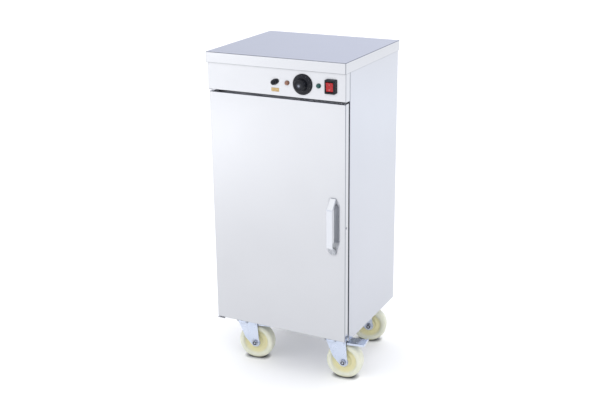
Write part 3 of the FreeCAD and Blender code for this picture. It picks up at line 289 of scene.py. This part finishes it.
def moulded(name, colour, rough, coat=0.0, specular=0.5, depth=0.00003, tint=0.85, glow=0.0):
    """Moulded plastic or rubber: fine texture, slight tone drift and rubbed edges."""
    g = Graph(name)
    g.set(Coat_Weight=coat, Coat_Roughness=0.08, Specular_IOR_Level=specular, Subsurface_Weight=glow,
          Subsurface_Radius=(0.004, 0.003, 0.002), Subsurface_Scale=0.5)
    broad = g.noise(26.0, 4.0, 0.55)
    fine = g.noise(700.0, 2.0, 0.5)
    tone = g.mix(g.ramp(broad, 0.0, 1.0, 0.3, 0.72), scaled(colour, tint), colour)
    lifted = tuple(min(1.0, channel * 1.25 + 0.01) for channel in colour)
    tone = g.mix(g.math("MULTIPLY", g.edges(0.0008), 0.45), tone, lifted)
    g.to("Base Color", tone)
    g.to("Roughness", g.ramp(fine, rough - 0.05, rough + 0.08, 0.3, 0.7))
    g.bump(fine, 0.35, depth)
    return g.material


def nylon(name):
    """Cream nylon: pale tread, yellower in the dish, darker and yellower in the corners as painted shade,
    with small scuffs.
    """
    g = Graph(name)
    g.set(Subsurface_Weight=0.12, Subsurface_Radius=(0.006, 0.005, 0.003), Subsurface_Scale=0.6,
          Specular_IOR_Level=0.35)
    broad = g.noise(34.0, 4.0, 0.6)
    scuff = g.noise(160.0, 5.0, 0.65)
    dish = g.tree.nodes.new("ShaderNodeAttribute")
    dish.attribute_name = "dish"
    tone = g.mix(g.ramp(broad, 0.0, 1.0, 0.32, 0.7), (0.70, 0.70, 0.55), (0.76, 0.76, 0.62))
    tone = g.mix(dish.outputs["Fac"], tone, (0.76, 0.71, 0.41))
    # Painted shade: corners and recesses of the wheel are darkened.
    tone = g.mix(g.math("MULTIPLY", g.hollows(0.010), 0.45), tone, (0.50, 0.46, 0.18))
    tone = g.mix(g.ramp(scuff, 0.0, 0.22, 0.60, 0.74), tone, (0.48, 0.45, 0.33))
    g.to("Base Color", tone)
    g.to("Roughness", g.ramp(scuff, 0.36, 0.58, 0.3, 0.7))
    g.bump(scuff, 0.3, 0.00008)
    return g.material


def rigid_foam(name):
    """Cut rigid foam with an open cell texture."""
    g = Graph(name)
    cells = g.cells(420.0)
    tone = g.mix(g.ramp(g.noise(18.0), 0.0, 1.0, 0.3, 0.7), (0.70, 0.62, 0.36), (0.84, 0.78, 0.52))
    tone = g.mix(g.ramp(cells, 0.5, 0.0, 0.0, 0.4), tone, (0.50, 0.42, 0.22))
    g.to("Base Color", tone)
    g.to("Roughness", g.ramp(cells, 0.82, 0.95, 0.0, 0.6))
    g.bump(cells, 0.6, 0.0004)
    return g.material


def lens(name, deep, bright):
    """Translucent coloured lens of an indicator lamp."""
    g = Graph(name)
    g.set(IOR=1.49, Transmission_Weight=0.15, Coat_Weight=0.15, Coat_Roughness=0.06, Subsurface_Weight=0.2,
          Subsurface_Radius=(0.004, 0.003, 0.002), Subsurface_Scale=0.5)
    blotch = g.noise(240.0, 3.0, 0.5)
    g.to("Base Color", g.mix(g.ramp(blotch, 0.0, 1.0, 0.3, 0.7), deep, bright))
    g.to("Roughness", g.ramp(blotch, 0.12, 0.24, 0.3, 0.7))
    g.bump(g.cells(900.0), 0.15, 0.00008)
    return g.material


def printed_plate(name):
    """Blank printed plate with worn, blotched ink."""
    g = Graph(name)
    g.set(Coat_Weight=0.2, Coat_Roughness=0.15, Specular_IOR_Level=0.3)
    blotch = g.noise(320.0, 4.0, 0.6, g.stretched((0.5, 1, 1.6)))
    ink = g.mix(g.ramp(blotch, 0.0, 1.0, 0.35, 0.7), (0.48, 0.30, 0.12), (0.64, 0.48, 0.22))
    g.to("Base Color", ink)
    g.to("Roughness", g.ramp(blotch, 0.35, 0.5, 0.3, 0.7))
    g.bump(blotch, 0.2, 0.00004)
    return g.material


def clear_glass(name):
    """Clear glass tube with a little dust."""
    g = Graph(name)
    g.set(IOR=1.5, Transmission_Weight=0.9)
    dust = g.noise(300.0)
    tone = g.mix(g.ramp(dust, 0.0, 1.0, 0.3, 0.7), (0.86, 0.90, 0.89), (0.94, 0.96, 0.95))
    g.to("Base Color", tone)
    g.to("Roughness", g.ramp(dust, 0.02, 0.10, 0.3, 0.7))
    g.bump(dust, 0.1, 0.00002)
    return g.material


def knob_insert(name):
    """Dark pressed insert that brightens to grey in its middle."""
    low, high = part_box("knob_cap")
    middle = (low + high) / 2
    g = Graph(name)
    g.set(Specular_IOR_Level=0.4)
    x, y, z = g.split(g.coords)
    across = g.math("POWER", g.math("SUBTRACT", x, middle.x), 2.0)
    along = g.math("POWER", g.math("SUBTRACT", z, middle.z), 2.0)
    radius = g.math("SQRT", g.math("ADD", across, along))
    grain = g.noise(500.0, 3.0)
    inner = g.ramp(radius, 1.0, 0.0, 0.0022, 0.0046)
    tone = g.mix(inner, (0.012, 0.014, 0.022), (0.26, 0.28, 0.33))
    tone = g.mix(g.ramp(grain, 0.0, 0.3, 0.4, 0.7), tone, (0.05, 0.05, 0.06))
    g.to("Base Color", tone)
    g.to("Roughness", g.ramp(grain, 0.28, 0.42, 0.3, 0.7))
    g.bump(grain, 0.2, 0.00003)
    return g.material


OUTER = (0.575, 0.582, 0.600)

# The corner and fold strengths given below set how much painted shade the steels and the zinc plate get in
# corners and on folds.
MATERIALS = {
    "outer_steel": sheet_steel("steel outer", OUTER, 0.13, corner_shade=0.65),
    "frame_steel": sheet_steel("steel frame", (0.52, 0.525, 0.545), 0.30, wave=0.0004, corner_shade=0.25),
    "liner_steel": sheet_steel("steel liner", (0.56, 0.565, 0.58), 0.26, grain=(60, 60, 1), wave=0.0005,
                                corner_shade=0.3),
    "wire_steel": plain_metal("plated wire", (0.78, 0.78, 0.80), 0.16, scale=120.0),
    "handle_alloy": plain_metal("handle alloy", (0.66, 0.675, 0.70), 0.34, scale=24.0, depth=0.00001,
                                spots=(0.63, 0.645, 0.675), spread=0.03),
    "foam": rigid_foam("rigid foam"),
    "seal_rubber": moulded("seal rubber", (0.022, 0.022, 0.025), 0.62, specular=0.3),
    "black_plastic": moulded("black plastic", (0.005, 0.006, 0.010), 0.30, specular=0.30),
    "bush_nylon": moulded("bush nylon", (0.70, 0.69, 0.62), 0.45, glow=0.1),
    "grey_insert": knob_insert("grey insert"),
    "red_rocker": moulded("red rocker", (0.44, 0.006, 0.010), 0.24, coat=0.12, specular=0.35, depth=0.00001),
    "amber_lens": lens("amber lens", (0.26, 0.12, 0.07), (0.40, 0.20, 0.13)),
    "green_lens": lens("green lens", (0.004, 0.070, 0.062), (0.008, 0.13, 0.11)),
    "yellow_label": printed_plate("yellow label"),
    "glass_fuse": clear_glass("fuse glass"),
    "heater_steel": plain_metal("heater sheath", (0.20, 0.19, 0.18), 0.48, scale=80.0,
                                spots=(0.28, 0.22, 0.18)),
    "sensor_copper": plain_metal("sensor copper", (0.80, 0.46, 0.32), 0.30, scale=90.0,
                                 spots=(0.55, 0.30, 0.20)),
    "screw_steel": plain_metal("plated screw", (0.50, 0.53, 0.60), 0.26, scale=200.0),
    "zinc_steel": plain_metal("zinc plate", (0.62, 0.67, 0.77), 0.24, scale=70.0, spots=(0.56, 0.62, 0.74),
                              fold_shade=0.8, corner_shade=0.7),
    "wheel_nylon": nylon("wheel nylon"),
}
PRINT_GREY = moulded("printed grey", (0.17, 0.17, 0.18), 0.4)
PRINT_ROSE = moulded("printed rose", (0.62, 0.30, 0.30), 0.4)
PLUG_GREY = moulded("plug grey", (0.30, 0.30, 0.33), 0.45)
# Painted reflection: the side panels get a copy of the outer steel, a little rougher, tinted cooler and
# darker to stand in for the bluish light they reflect; its corner strength is painted shade.
SIDE_STEEL_PAINTED_COOL = sheet_steel("steel sides painted cool reflection", (0.548, 0.562, 0.598), 0.15, corner_shade=0.65)
DARK_SCREW = plain_metal("dark screw", (0.09, 0.09, 0.10), 0.40, scale=200.0)


def paint(obj, material):
    """Make a material the only one of a mesh."""
    obj.data.materials.clear()
    obj.data.materials.append(material)


def paint_cad_nodes():
    """Give every CAD node the material of its slot."""
    for name, obj in NODES.items():
        paint(obj, MATERIALS[SLOT_OF[name]])


# ---------------------------------------------------------- piece builders


def register(obj, node, slot=None, replace=True, material=None):
    """Tie a visual piece to the body of a CAD node, and stand it in for that node."""
    slot = slot or SLOT_OF[node]
    paint(obj, material or MATERIALS[slot])
    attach(obj, BODY_OF[node])
    if replace:
        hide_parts(node)


def object_from(bm, name, smooth=True):
    """Turn a bmesh into an object of the scene."""
    mesh = bpy.data.meshes.new(name)
    bmesh.ops.recalc_face_normals(bm, faces=bm.faces)
    bm.to_mesh(mesh)
    bm.free()
    obj = bpy.data.objects.new(name, mesh)
    SCENE.collection.objects.link(obj)
    if smooth:
        mesh.shade_smooth()
    return obj


def apply_modifiers(obj):
    """Bake the modifiers into the mesh."""
    graph = bpy.context.evaluated_depsgraph_get()
    mesh = bpy.data.meshes.new_from_object(obj.evaluated_get(graph))
    obj.modifiers.clear()
    obj.data = mesh


def soften(obj, width, segments=2, angle=32.0):
    """Round the sharp edges of a mesh and keep its flats flat."""
    bevel = obj.modifiers.new("edge", "BEVEL")
    bevel.width = width
    bevel.segments = segments
    bevel.limit_method = "ANGLE"
    bevel.angle_limit = math.radians(angle)
    bevel.use_clamp_overlap = True
    apply_modifiers(obj)
    obj.data.shade_smooth()
    weighted = obj.modifiers.new("normals", "WEIGHTED_NORMAL")
    weighted.keep_sharp = True
    apply_modifiers(obj)


def on_line(edge, axes, place, slack=0.0006):
    """True for an edge that lies along a line given by two fixed coordinates."""
    return all(
        abs(vert.co[axis] - value) < slack
        for vert in edge.verts
        for axis, value in zip(axes, place)
    )


def welded_mesh(node):
    """A CAD node's mesh with its doubled points joined."""
    bm = bmesh.new()
    bm.from_mesh(NODES[node].data)
    bmesh.ops.remove_doubles(bm, verts=bm.verts, dist=0.000002)
    return bm


def refined(node, width, segments=2, angle=32.0, material=None, lines=(), radius=0.0):
    """A CAD node's own shape with its sharp edges rounded, and some lines rounded more."""
    bm = welded_mesh(node)
    flat = math.radians(0.6)
    bmesh.ops.dissolve_limit(bm, angle_limit=flat, verts=bm.verts, edges=bm.edges)
    chosen = [e for e in bm.edges if any(on_line(e, axes, place) for axes, place in lines)]
    if chosen:
        bmesh.ops.bevel(bm, geom=chosen, offset=radius, segments=3, affect="EDGES", profile=0.5)
    obj = object_from(bm, node + ".shaped", smooth=False)
    soften(obj, width, segments, angle)
    register(obj, node, material=material)


def basis(axis):
    """Two unit vectors across an axis."""
    axis = axis.normalized()
    side = UP if abs(axis.z) < 0.9 else RIGHT
    first = side.cross(axis).normalized()
    return first, axis.cross(first).normalized()


def lathe(bm, profile, place, axis, steps=64, shape=None):
    """Turn (distance along the axis, radius) points, in mm, about an axis."""
    axis = axis.normalized()
    first, second = basis(axis)
    rings = []
    for along, radius in profile:
        centre = place + axis * along * MM
        if radius <= 0:
            rings.append([bm.verts.new(centre)])
            continue
        ring = []
        for step in range(steps):
            angle = 2 * math.pi * step / steps
            reach = radius if shape is None else shape(along, radius, angle)
            outward = first * math.cos(angle) + second * math.sin(angle)
            ring.append(bm.verts.new(centre + outward * reach * MM))
        rings.append(ring)
    for lower, upper in zip(rings, rings[1:]):
        for step in range(steps):
            after = (step + 1) % steps
            if len(lower) == 1 and len(upper) == 1:
                continue
            if len(lower) == 1:
                bm.faces.new((lower[0], upper[step], upper[after]))
            elif len(upper) == 1:
                bm.faces.new((lower[step], upper[0], lower[after]))
            else:
                bm.faces.new((lower[step], upper[step], upper[after], lower[after]))
    return rings


def close_ring(bm, first, last):
    """Join the last ring of a hollow turned shape back to its first one."""
    steps = len(first)
    for step in range(steps):
        after = (step + 1) % steps
        bm.faces.new((last[step], first[step], first[after], last[after]))


def rounded_bar(bm, low, high, radius, segments=3):
    """A block with rounded edges between two corners."""
    size = high - low
    made = bmesh.ops.create_cube(bm, size=1.0)["verts"]
    middle = Vector((0.5, 0.5, 0.5))
    for vert in made:
        vert.co = low + (vert.co + middle) * size
    edges = {edge for vert in made for edge in vert.link_edges}
    bmesh.ops.bevel(bm, geom=list(edges), offset=radius, segments=segments, affect="EDGES", profile=0.5)


def turned_bar(bm, low, high, radius, turn):
    """A rounded block made in a turned frame."""
    part = bmesh.new()
    rounded_bar(part, low, high, radius)
    part.transform(turn)
    mesh = bpy.data.meshes.new("part")
    part.to_mesh(mesh)
    part.free()
    bm.from_mesh(mesh)
    bpy.data.meshes.remove(mesh)


# ----------------------------------------------------------------- casters


def build_wheels():
    """Nylon wheels: crowned tread with a parting line, dished sides, raised hub."""
    outer_side = [
        (20.45, 5.10), (20.45, 9.9), (20.2, 10.6), (19.6, 11.0), (15.9, 12.6), (13.4, 14.2), (11.5, 16.2),
        (10.9, 18.6), (10.8, 22.6), (11.7, 23.4), (11.7, 24.8), (10.8, 25.6), (10.8, 31.6), (11.2, 34.2),
        (12.4, 36.8), (14.6, 39.4), (16.6, 41.2), (17.7, 42.6), (18.2, 44.4), (18.3, 46.6), (18.2, 49.4),
        (17.6, 52.0), (16.4, 54.0), (14.6, 55.6), (12.0, 56.6), (8.0, 57.15), (3.0, 57.3), (0.7, 57.3),
        (0.35, 57.47),
    ]
    profile = outer_side + [(-along, radius) for along, radius in reversed(outer_side)]
    tread_start = 41.0
    dish_end = 36.0
    for corner in ("fl", "fr", "rl", "rr"):
        joint = JOINTS["roll_" + corner]
        bm = bmesh.new()
        layer = bm.verts.layers.float.new("dish")
        rings = lathe(bm, profile, Vector(joint["pos_m"]), Vector(joint["axis"]), 112)
        close_ring(bm, rings[0], rings[-1])
        for (along, radius), ring in zip(profile, rings):
            part = (tread_start - radius) / (tread_start - dish_end)
            for vert in ring:
                vert[layer] = min(1.0, max(0.0, part))
        register(object_from(bm, "wheel_" + corner + ".turned"), "caster_wheel_" + corner)


def build_forks():
    """Forks, axles, brake pedals, plates and bolts of the four casters."""
    for corner in ("fl", "fr", "rl", "rr"):
        refined("caster_fork_" + corner, 0.0007)
        refined("caster_axle_" + corner, 0.0005, 2, 25.0)
        build_lock_nut(corner)
    for corner in ("fl", "fr"):
        refined("brake_pedal_" + corner, 0.0006)
        build_pedal_ribs(corner)
    refined("caster_plates", 0.0005)
    refined("caster_bolts", 0.0005, 2, 25.0)


def build_lock_nut(corner):
    """Dark locking ring set in the outer face of an axle nut."""
    joint = JOINTS["roll_" + corner]
    outward = -Vector(joint["axis"])
    nut_face = 31.5
    place = Vector(joint["pos_m"]) + outward * nut_face * MM
    ring = [(-0.4, 6.3), (0.35, 6.3), (0.6, 6.0), (0.6, 3.6), (0.1, 3.3), (-0.4, 3.3)]
    bm = bmesh.new()
    rings = lathe(bm, ring, place, outward, 40)
    close_ring(bm, rings[0], rings[-1])
    register(object_from(bm, "nut_insert_" + corner), "caster_axle_" + corner, replace=False,
             slot="black_plastic")


def build_pedal_ribs(corner):
    """Raised anti-slip bars across the brake tread."""
    bar_starts = (66.0, 74.0, 82.0, 90.0)
    bar_width = 3.0
    half_length = 16.0
    bottom = 123.2
    top = 124.5
    heading = Vector(JOINTS["roll_" + corner]["axis"]).cross(UP).normalized()
    pivot = Vector(JOINTS["swivel_" + corner]["pos_m"])
    spin = Matrix.Rotation(math.atan2(heading.y, heading.x), 4, "Z")
    turn = Matrix.Translation((pivot.x, pivot.y, 0.0)) @ spin
    bm = bmesh.new()
    for start in bar_starts:
        low = Vector((start, -half_length, bottom)) * MM
        high = Vector((start + bar_width, half_length, top)) * MM
        turned_bar(bm, low, high, 0.0005, turn)
    register(object_from(bm, "pedal_ribs_" + corner), "brake_pedal_" + corner, replace=False)


# ---------------------------------------------------------------- controls


def on_panel(node):
    """Centre of a control, brought onto the panel's face."""
    low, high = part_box(node)
    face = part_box("control_panel")[0].y
    return Vector(((low.x + high.x) / 2, face, (low.z + high.z) / 2))


def build_knob():
    """Skirted knob with a fluted, tapered hub and its pressed insert."""
    centre = on_panel("knob")
    flutes = 18
    flute_depth = 1.1
    hub_start = 7.0
    hub_end = 25.0
    hub_radius = 12.0

    def fluted(along, radius, angle):
        if radius < hub_radius or along < hub_start or along > hub_end:
            return radius
        wave = max(0.0, math.cos(flutes * angle))
        return radius - flute_depth * wave ** 3

    profile = [
        (2.2, 3.3), (2.2, 9.0), (1.0, 27.4), (0.9, 29.2), (1.4, 29.9), (2.6, 29.95), (3.4, 29.5), (3.9, 28.6),
        (4.5, 26.0), (5.3, 21.8), (5.9, 20.0), (6.8, 19.1), (7.6, 18.9), (10, 18.6), (13, 18.2), (16, 17.9),
        (19, 17.5), (22, 17.1), (24.6, 16.7), (25.8, 16.2), (26.7, 15.3), (27.2, 14.0), (27.4, 12.0),
        (27.4, 9.6), (27.1, 8.95), (26.2, 8.8), (24.2, 8.8), (24.2, 3.3),
    ]
    bm = bmesh.new()
    rings = lathe(bm, profile, centre, FRONT, 144, fluted)
    close_ring(bm, rings[0], rings[-1])
    register(object_from(bm, "knob.turned"), "knob")
    insert = [
        (24.6, 0), (24.6, 8.5), (26.3, 8.5), (26.7, 8.1), (26.8, 7.4), (26.2, 5.6), (25.8, 3.2), (25.7, 0),
    ]
    bm = bmesh.new()
    lathe(bm, insert, centre, FRONT, 64)
    register(object_from(bm, "knob_insert.turned"), "knob_cap")
    build_knob_marks(centre)


def build_knob_marks(centre):
    """Raised scale bars round the knob's skirt."""
    bm = bmesh.new()
    first_mark = -50.0
    last_mark = 230.0
    marks = 11
    low = Vector((24.0, -4.80, -0.28)) * MM
    high = Vector((27.2, -4.30, 0.28)) * MM
    for index in range(marks):
        angle = math.radians(first_mark + (last_mark - first_mark) * index / (marks - 1))
        turn = Matrix.Translation(centre) @ Matrix.Rotation(-angle, 4, "Y")
        turned_bar(bm, low, high, 0.00012, turn)
    register(object_from(bm, "knob_marks"), "knob", replace=False, material=PRINT_GREY)


def build_lamps():
    """Domed lenses with a fluted rim and a stepped flange."""
    profile = [
        (0.2, 0), (0.2, 6.9), (1.3, 7.0), (1.9, 6.8), (2.3, 6.1), (2.6, 5.9), (4.4, 5.7), (5.4, 5.4),
        (6.2, 4.8), (6.9, 3.9), (7.4, 2.8), (7.8, 1.5), (7.95, 0),
    ]

    ribs = 16
    rib_depth = 0.22
    rib_start = 2.2
    rib_end = 6.0

    def ribbed(along, radius, angle):
        if along < rib_start or along > rib_end:
            return radius
        return radius - rib_depth * max(0.0, math.cos(ribs * angle))

    for node in ("amber_lens", "green_lens"):
        bm = bmesh.new()
        lathe(bm, profile, on_panel(node), FRONT, 96, ribbed)
        register(object_from(bm, node + ".turned"), node)


def subtract(obj, cutter):
    """Cut one mesh out of another and drop the cutter."""
    boolean = obj.modifiers.new("cut", "BOOLEAN")
    boolean.operation = "DIFFERENCE"
    boolean.solver = "EXACT"
    boolean.object = cutter
    bpy.context.view_layer.update()
    apply_modifiers(obj)
    bpy.data.objects.remove(cutter)


def build_fuse_cap():
    """Screw cap with a knurled rim and a driver slot."""
    centre = on_panel("fuse_cap")
    knurls = 28
    knurl_depth = 0.35
    knurl_start = 4.4
    knurl_end = 10.6
    rim_radius = 7.0

    def knurled(along, radius, angle):
        if along < knurl_start or along > knurl_end or radius < rim_radius:
            return radius
        return radius - knurl_depth * (0.5 + 0.5 * math.cos(knurls * angle))

    profile = [
        (-1.7, 0), (-1.7, 4.1), (3.4, 4.1), (3.4, 7.4), (3.7, 7.6), (4.3, 7.6), (4.6, 7.6), (10.4, 7.6),
        (10.7, 7.6), (11.3, 7.5), (12.6, 7.2), (13.7, 6.7), (14.7, 5.6), (15.2, 4.2), (15.5, 2.2), (15.58, 0),
    ]
    bm = bmesh.new()
    lathe(bm, profile, centre, FRONT, 168, knurled)
    obj = object_from(bm, "fuse_cap.turned")
    slot_low = centre + Vector((-5.4, -17.0, -0.75)) * MM
    slot_high = centre + Vector((5.4, -13.3, 0.75)) * MM
    bm = bmesh.new()
    rounded_bar(bm, slot_low, slot_high, 0.0002)
    subtract(obj, object_from(bm, "slot"))
    register(obj, "fuse_cap")


def build_rocker():
    """Switch housing with a deep bezel, and a bowed button with two marks."""
    refined("rocker_housing", 0.0004)
    low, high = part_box("rocker_button")
    housing_low, housing_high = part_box("rocker_housing")
    middle = (housing_low.z + housing_high.z) / 2
    front = housing_low.y
    half_height = 12.9
    face_depth = 0.4
    top_rise = 3.0
    bottom_sink = 0.6
    steps = 12
    side_gap = 2.1
    face = []
    for step in range(steps + 1):
        part = 1 - 2 * step / steps
        bow = top_rise * max(0.0, part) ** 2 - bottom_sink * max(0.0, -part) ** 2
        face.append((front + (face_depth - bow) * MM, middle + half_height * part * MM))
    back = [
        (front + 5.2 * MM, middle - 12.0 * MM), (front + 8.2 * MM, middle - 4 * MM),
        (front + 8.2 * MM, middle + 4 * MM), (front + 4.0 * MM, middle + 12.3 * MM),
    ]
    outline = face + back
    left = low.x + side_gap * MM
    right = high.x - side_gap * MM
    bm = bmesh.new()
    sides = [[bm.verts.new((x, y, z)) for y, z in outline] for x in (left, right)]
    count = len(outline)
    for i in range(count):
        j = (i + 1) % count
        bm.faces.new((sides[0][i], sides[0][j], sides[1][j], sides[1][i]))
    bm.faces.new(sides[0])
    bm.faces.new(list(reversed(sides[1])))
    obj = object_from(bm, "rocker_button.shaped", smooth=False)
    soften(obj, 0.0008, 3, 40.0)
    register(obj, "rocker_button")
    build_rocker_marks(Vector(((left + right) / 2, front, middle)))


def build_rocker_marks(centre):
    """A raised bar and a raised ring for on and off."""
    bar_low = centre + Vector((-0.5, -1.85, 5.4)) * MM
    bar_high = centre + Vector((0.5, 0.65, 9.4)) * MM
    ring_place = centre + Vector((0.0, 0.65, -7.4)) * MM
    ring = [(0.0, 1.5), (0.35, 1.5), (0.35, 2.1), (0.0, 2.1)]
    bm = bmesh.new()
    rounded_bar(bm, bar_low, bar_high, 0.0002)
    rings = lathe(bm, ring, ring_place, FRONT, 32)
    close_ring(bm, rings[0], rings[-1])
    register(object_from(bm, "rocker_marks"), "rocker_button", replace=False, material=PRINT_ROSE)


# -------------------------------------------------------------- door pieces


def build_gasket():
    """Bellows gasket: one lip profile carried round the door with mitred corners."""
    low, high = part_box("door_gasket")
    depth = (high.y - low.y) / MM
    profile = [
        (0.0, 0.0), (8.0, 0.0), (8.0, 1.4), (6.8, 1.9), (6.8, 2.6), (7.7, 3.3), (7.7, depth - 1.6),
        (6.9, depth - 0.5), (5.6, depth - 0.02), (2.4, depth - 0.02), (1.1, depth - 0.5), (0.3, depth - 1.6),
        (0.3, 3.3), (1.2, 2.6), (1.2, 1.9), (0.0, 1.4),
    ]
    bm = bmesh.new()
    loops = []
    for inset, out in profile:
        x0, x1 = low.x + inset * MM, high.x - inset * MM
        z0, z1 = low.z + inset * MM, high.z - inset * MM
        y = low.y + out * MM
        loops.append([bm.verts.new(p) for p in ((x0, y, z0), (x1, y, z0), (x1, y, z1), (x0, y, z1))])
    for index, loop in enumerate(loops):
        after = loops[(index + 1) % len(loops)]
        for i in range(4):
            j = (i + 1) % 4
            bm.faces.new((loop[i], loop[j], after[j], after[i]))
    obj = object_from(bm, "door_gasket.swept", smooth=False)
    soften(obj, 0.0003, 2, 25.0)
    register(obj, "door_gasket")


# ------------------------------------------------------------------ screws


def screw_head(bm, place, axis, radius, height, shank):
    """Pan head on a shank, with a cross-shaped recess in its top."""
    profile = [
        (-shank, 0), (-shank, 1.6), (-shank + 1.0, 1.95), (0, 1.95), (0, radius), (height * 0.35, radius),
        (height * 0.62, radius * 0.93), (height * 0.82, radius * 0.78), (height * 0.95, radius * 0.56),
        (height, radius * 0.40), (height * 0.55, radius * 0.30), (height * 0.42, 0),
    ]

    def crossed(along, reach, angle):
        if reach > radius * 0.45 or along < height * 0.3:
            return reach
        lobe = abs(math.cos(2 * angle))
        return reach * (0.55 + 0.75 * lobe ** 3)

    lathe(bm, profile, place, axis, 48, crossed)


def build_screws():
    """Rear panel screws, and dark screws up through the control panel flange."""
    rear = bmesh.new()
    flange = bmesh.new()
    back_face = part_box("rear_panel")[1].y
    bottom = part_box("control_panel")[0].z
    for centre in solid_centres("panel_screws"):
        if centre.y > 0:
            place = Vector((centre.x, back_face, centre.z))
            screw_head(rear, place, BACK, 4.0, 2.0, 6.8)
        else:
            place = Vector((centre.x, centre.y, bottom))
            screw_head(flange, place, -UP, 3.8, 1.9, -0.1)
    register(object_from(rear, "rear_screws"), "panel_screws")
    register(object_from(flange, "flange_screws"), "panel_screws", replace=False, material=DARK_SCREW)


def solid_centres(node):
    """Box centres of the separate solids of a CAD node."""
    bm = welded_mesh(node)
    seen = set()
    centres = []
    for vert in bm.verts:
        if vert.index in seen:
            continue
        stack = [vert]
        group = []
        seen.add(vert.index)
        while stack:
            current = stack.pop()
            group.append(current.co.copy())
            for edge in current.link_edges:
                other = edge.other_vert(current)
                if other.index not in seen:
                    seen.add(other.index)
                    stack.append(other)
        low = Vector([min(p[k] for p in group) for k in range(3)])
        high = Vector([max(p[k] for p in group) for k in range(3)])
        centres.append((low + high) / 2)
    bm.free()
    return centres


# ------------------------------------------------------------------- shell


def build_shell():
    """Folded sheets with their raw edges dressed."""
    low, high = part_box("top_cover")
    hem = [
        ((1, 2), (low.y, low.z)), ((1, 2), (high.y, low.z)),
        ((0, 2), (low.x, low.z)), ((0, 2), (high.x, low.z)),
    ]
    refined("top_cover", 0.0004, 2, 40.0, lines=hem, radius=0.0011)
    panel_low, panel_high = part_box("control_panel")
    seam = [((0, 1), (panel_high.x, panel_high.y)), ((0, 1), (panel_low.x, panel_high.y))]
    refined("control_panel", 0.0003, 2, 40.0, lines=seam, radius=0.0008)
    for node in ("rear_panel", "door_skin"):
        refined(node, 0.0003, 2, 40.0)
    for node in ("side_panel_left", "side_panel_right"):
        refined(node, 0.0003, 2, 40.0, material=SIDE_STEEL_PAINTED_COOL)
    for node in ("front_rail", "base_tray", "control_deck", "door_liner", "heater_guard", "water_pan"):
        refined(node, 0.0003, 1, 40.0)
    for node in ("hinge_brackets", "magnet_catch", "label_plate", "door_bushes"):
        refined(node, 0.0002, 2, 40.0)
    refined("door_edge_plug", 0.0002, 2, 40.0, material=PLUG_GREY)
    for node in ("cable_gland", "fuse_holder", "thermostat_body", "lamp_bodies", "door_handle"):
        refined(node, 0.0004, 2, 35.0)
    refined("shelf_racks", 0.0003, 1, 40.0)


# ------------------------------------------------------------ stage, light


def add_floor():
    """Plain pale floor, a little self-lit, with a painted contact shadow under the wheels."""
    bpy.ops.mesh.primitive_plane_add(size=60.0, location=(0, 0, 0))
    floor = bpy.context.object
    floor.name = "floor"
    g = Graph("pale floor")
    drift = g.ramp(g.noise(0.7, 2.0), 0.0, 1.0, 0.3, 0.7)
    # Painted shadow: the floor is darkened, and its glow cut, close to the wheels.
    contact_shadow = g.hollows(0.016)
    pale = g.mix(drift, (0.87, 0.87, 0.875), (0.90, 0.90, 0.90))
    g.to("Base Color", g.mix(contact_shadow, pale, (0.12, 0.12, 0.12)))
    g.set(Roughness=0.75, Specular_IOR_Level=0.1, Emission_Strength=0.12)
    g.to("Emission Color", g.mix(contact_shadow, (1.0, 1.0, 1.0), (0.0, 0.0, 0.0)))
    floor.data.materials.append(g.material)


def add_area(name, place, size, power, colour=(1, 1, 1)):
    """A square soft light that shines straight down."""
    data = bpy.data.lights.new(name, "AREA")
    data.shape = "RECTANGLE"
    data.size = size
    data.size_y = size
    data.energy = power
    data.color = colour
    light = bpy.data.objects.new(name, data)
    light.location = place
    light.visible_camera = False
    SCENE.collection.objects.link(light)


def add_world():
    """Soft white surround: brighter overhead, cooler near the horizon, dimmer to the left."""
    world = bpy.data.worlds.new("studio")
    SCENE.world = world
    world.use_nodes = True
    tree = world.node_tree
    tree.nodes.clear()
    out = tree.nodes.new("ShaderNodeOutputWorld")
    background = tree.nodes.new("ShaderNodeBackground")
    coords = tree.nodes.new("ShaderNodeTexCoord")
    split = tree.nodes.new("ShaderNodeSeparateXYZ")
    ramp = tree.nodes.new("ShaderNodeValToRGB")
    stops = ramp.color_ramp.elements
    stops[0].position = 0.0
    stops[0].color = (0.78, 0.82, 0.98, 1.0)
    stops[1].position = 0.75
    stops[1].color = (1.50, 1.50, 1.50, 1.0)
    middle = stops.new(0.32)
    middle.color = (0.92, 0.96, 1.12, 1.0)
    tree.links.new(coords.outputs["Generated"], split.inputs[0])
    tree.links.new(split.outputs["Z"], ramp.inputs[0])
    slope = tree.nodes.new("ShaderNodeMapRange")
    slope.inputs["From Min"].default_value = -0.55
    slope.inputs["From Max"].default_value = -0.35
    slope.inputs["To Min"].default_value = 0.87
    slope.inputs["To Max"].default_value = 0.97
    tree.links.new(split.outputs["X"], slope.inputs["Value"])
    tree.links.new(slope.outputs[0], background.inputs["Strength"])
    tree.links.new(ramp.outputs[0], background.inputs[0])
    tree.links.new(background.outputs[0], out.inputs[0])


def add_light():
    """The surround, and pools of light on the parts of the floor that the steel reflects."""
    add_world()
    add_area("pool front left", (-2.4, -2.3, 1.5), 1.4, 19.0)
    add_area("pool far left", (-3.7, -4.9, 1.5), 1.5, 18.0)
    add_area("pool back right", (2.1, 3.0, 1.6), 1.5, 4.5, (0.60, 0.78, 1.0))


add_camera()
paint_cad_nodes()
build_shell()
build_wheels()
build_forks()
build_knob()
build_lamps()
build_fuse_cap()
build_rocker()
build_gasket()
build_screws()
add_floor()
add_light()
SCENE.view_settings.view_transform = "Standard"
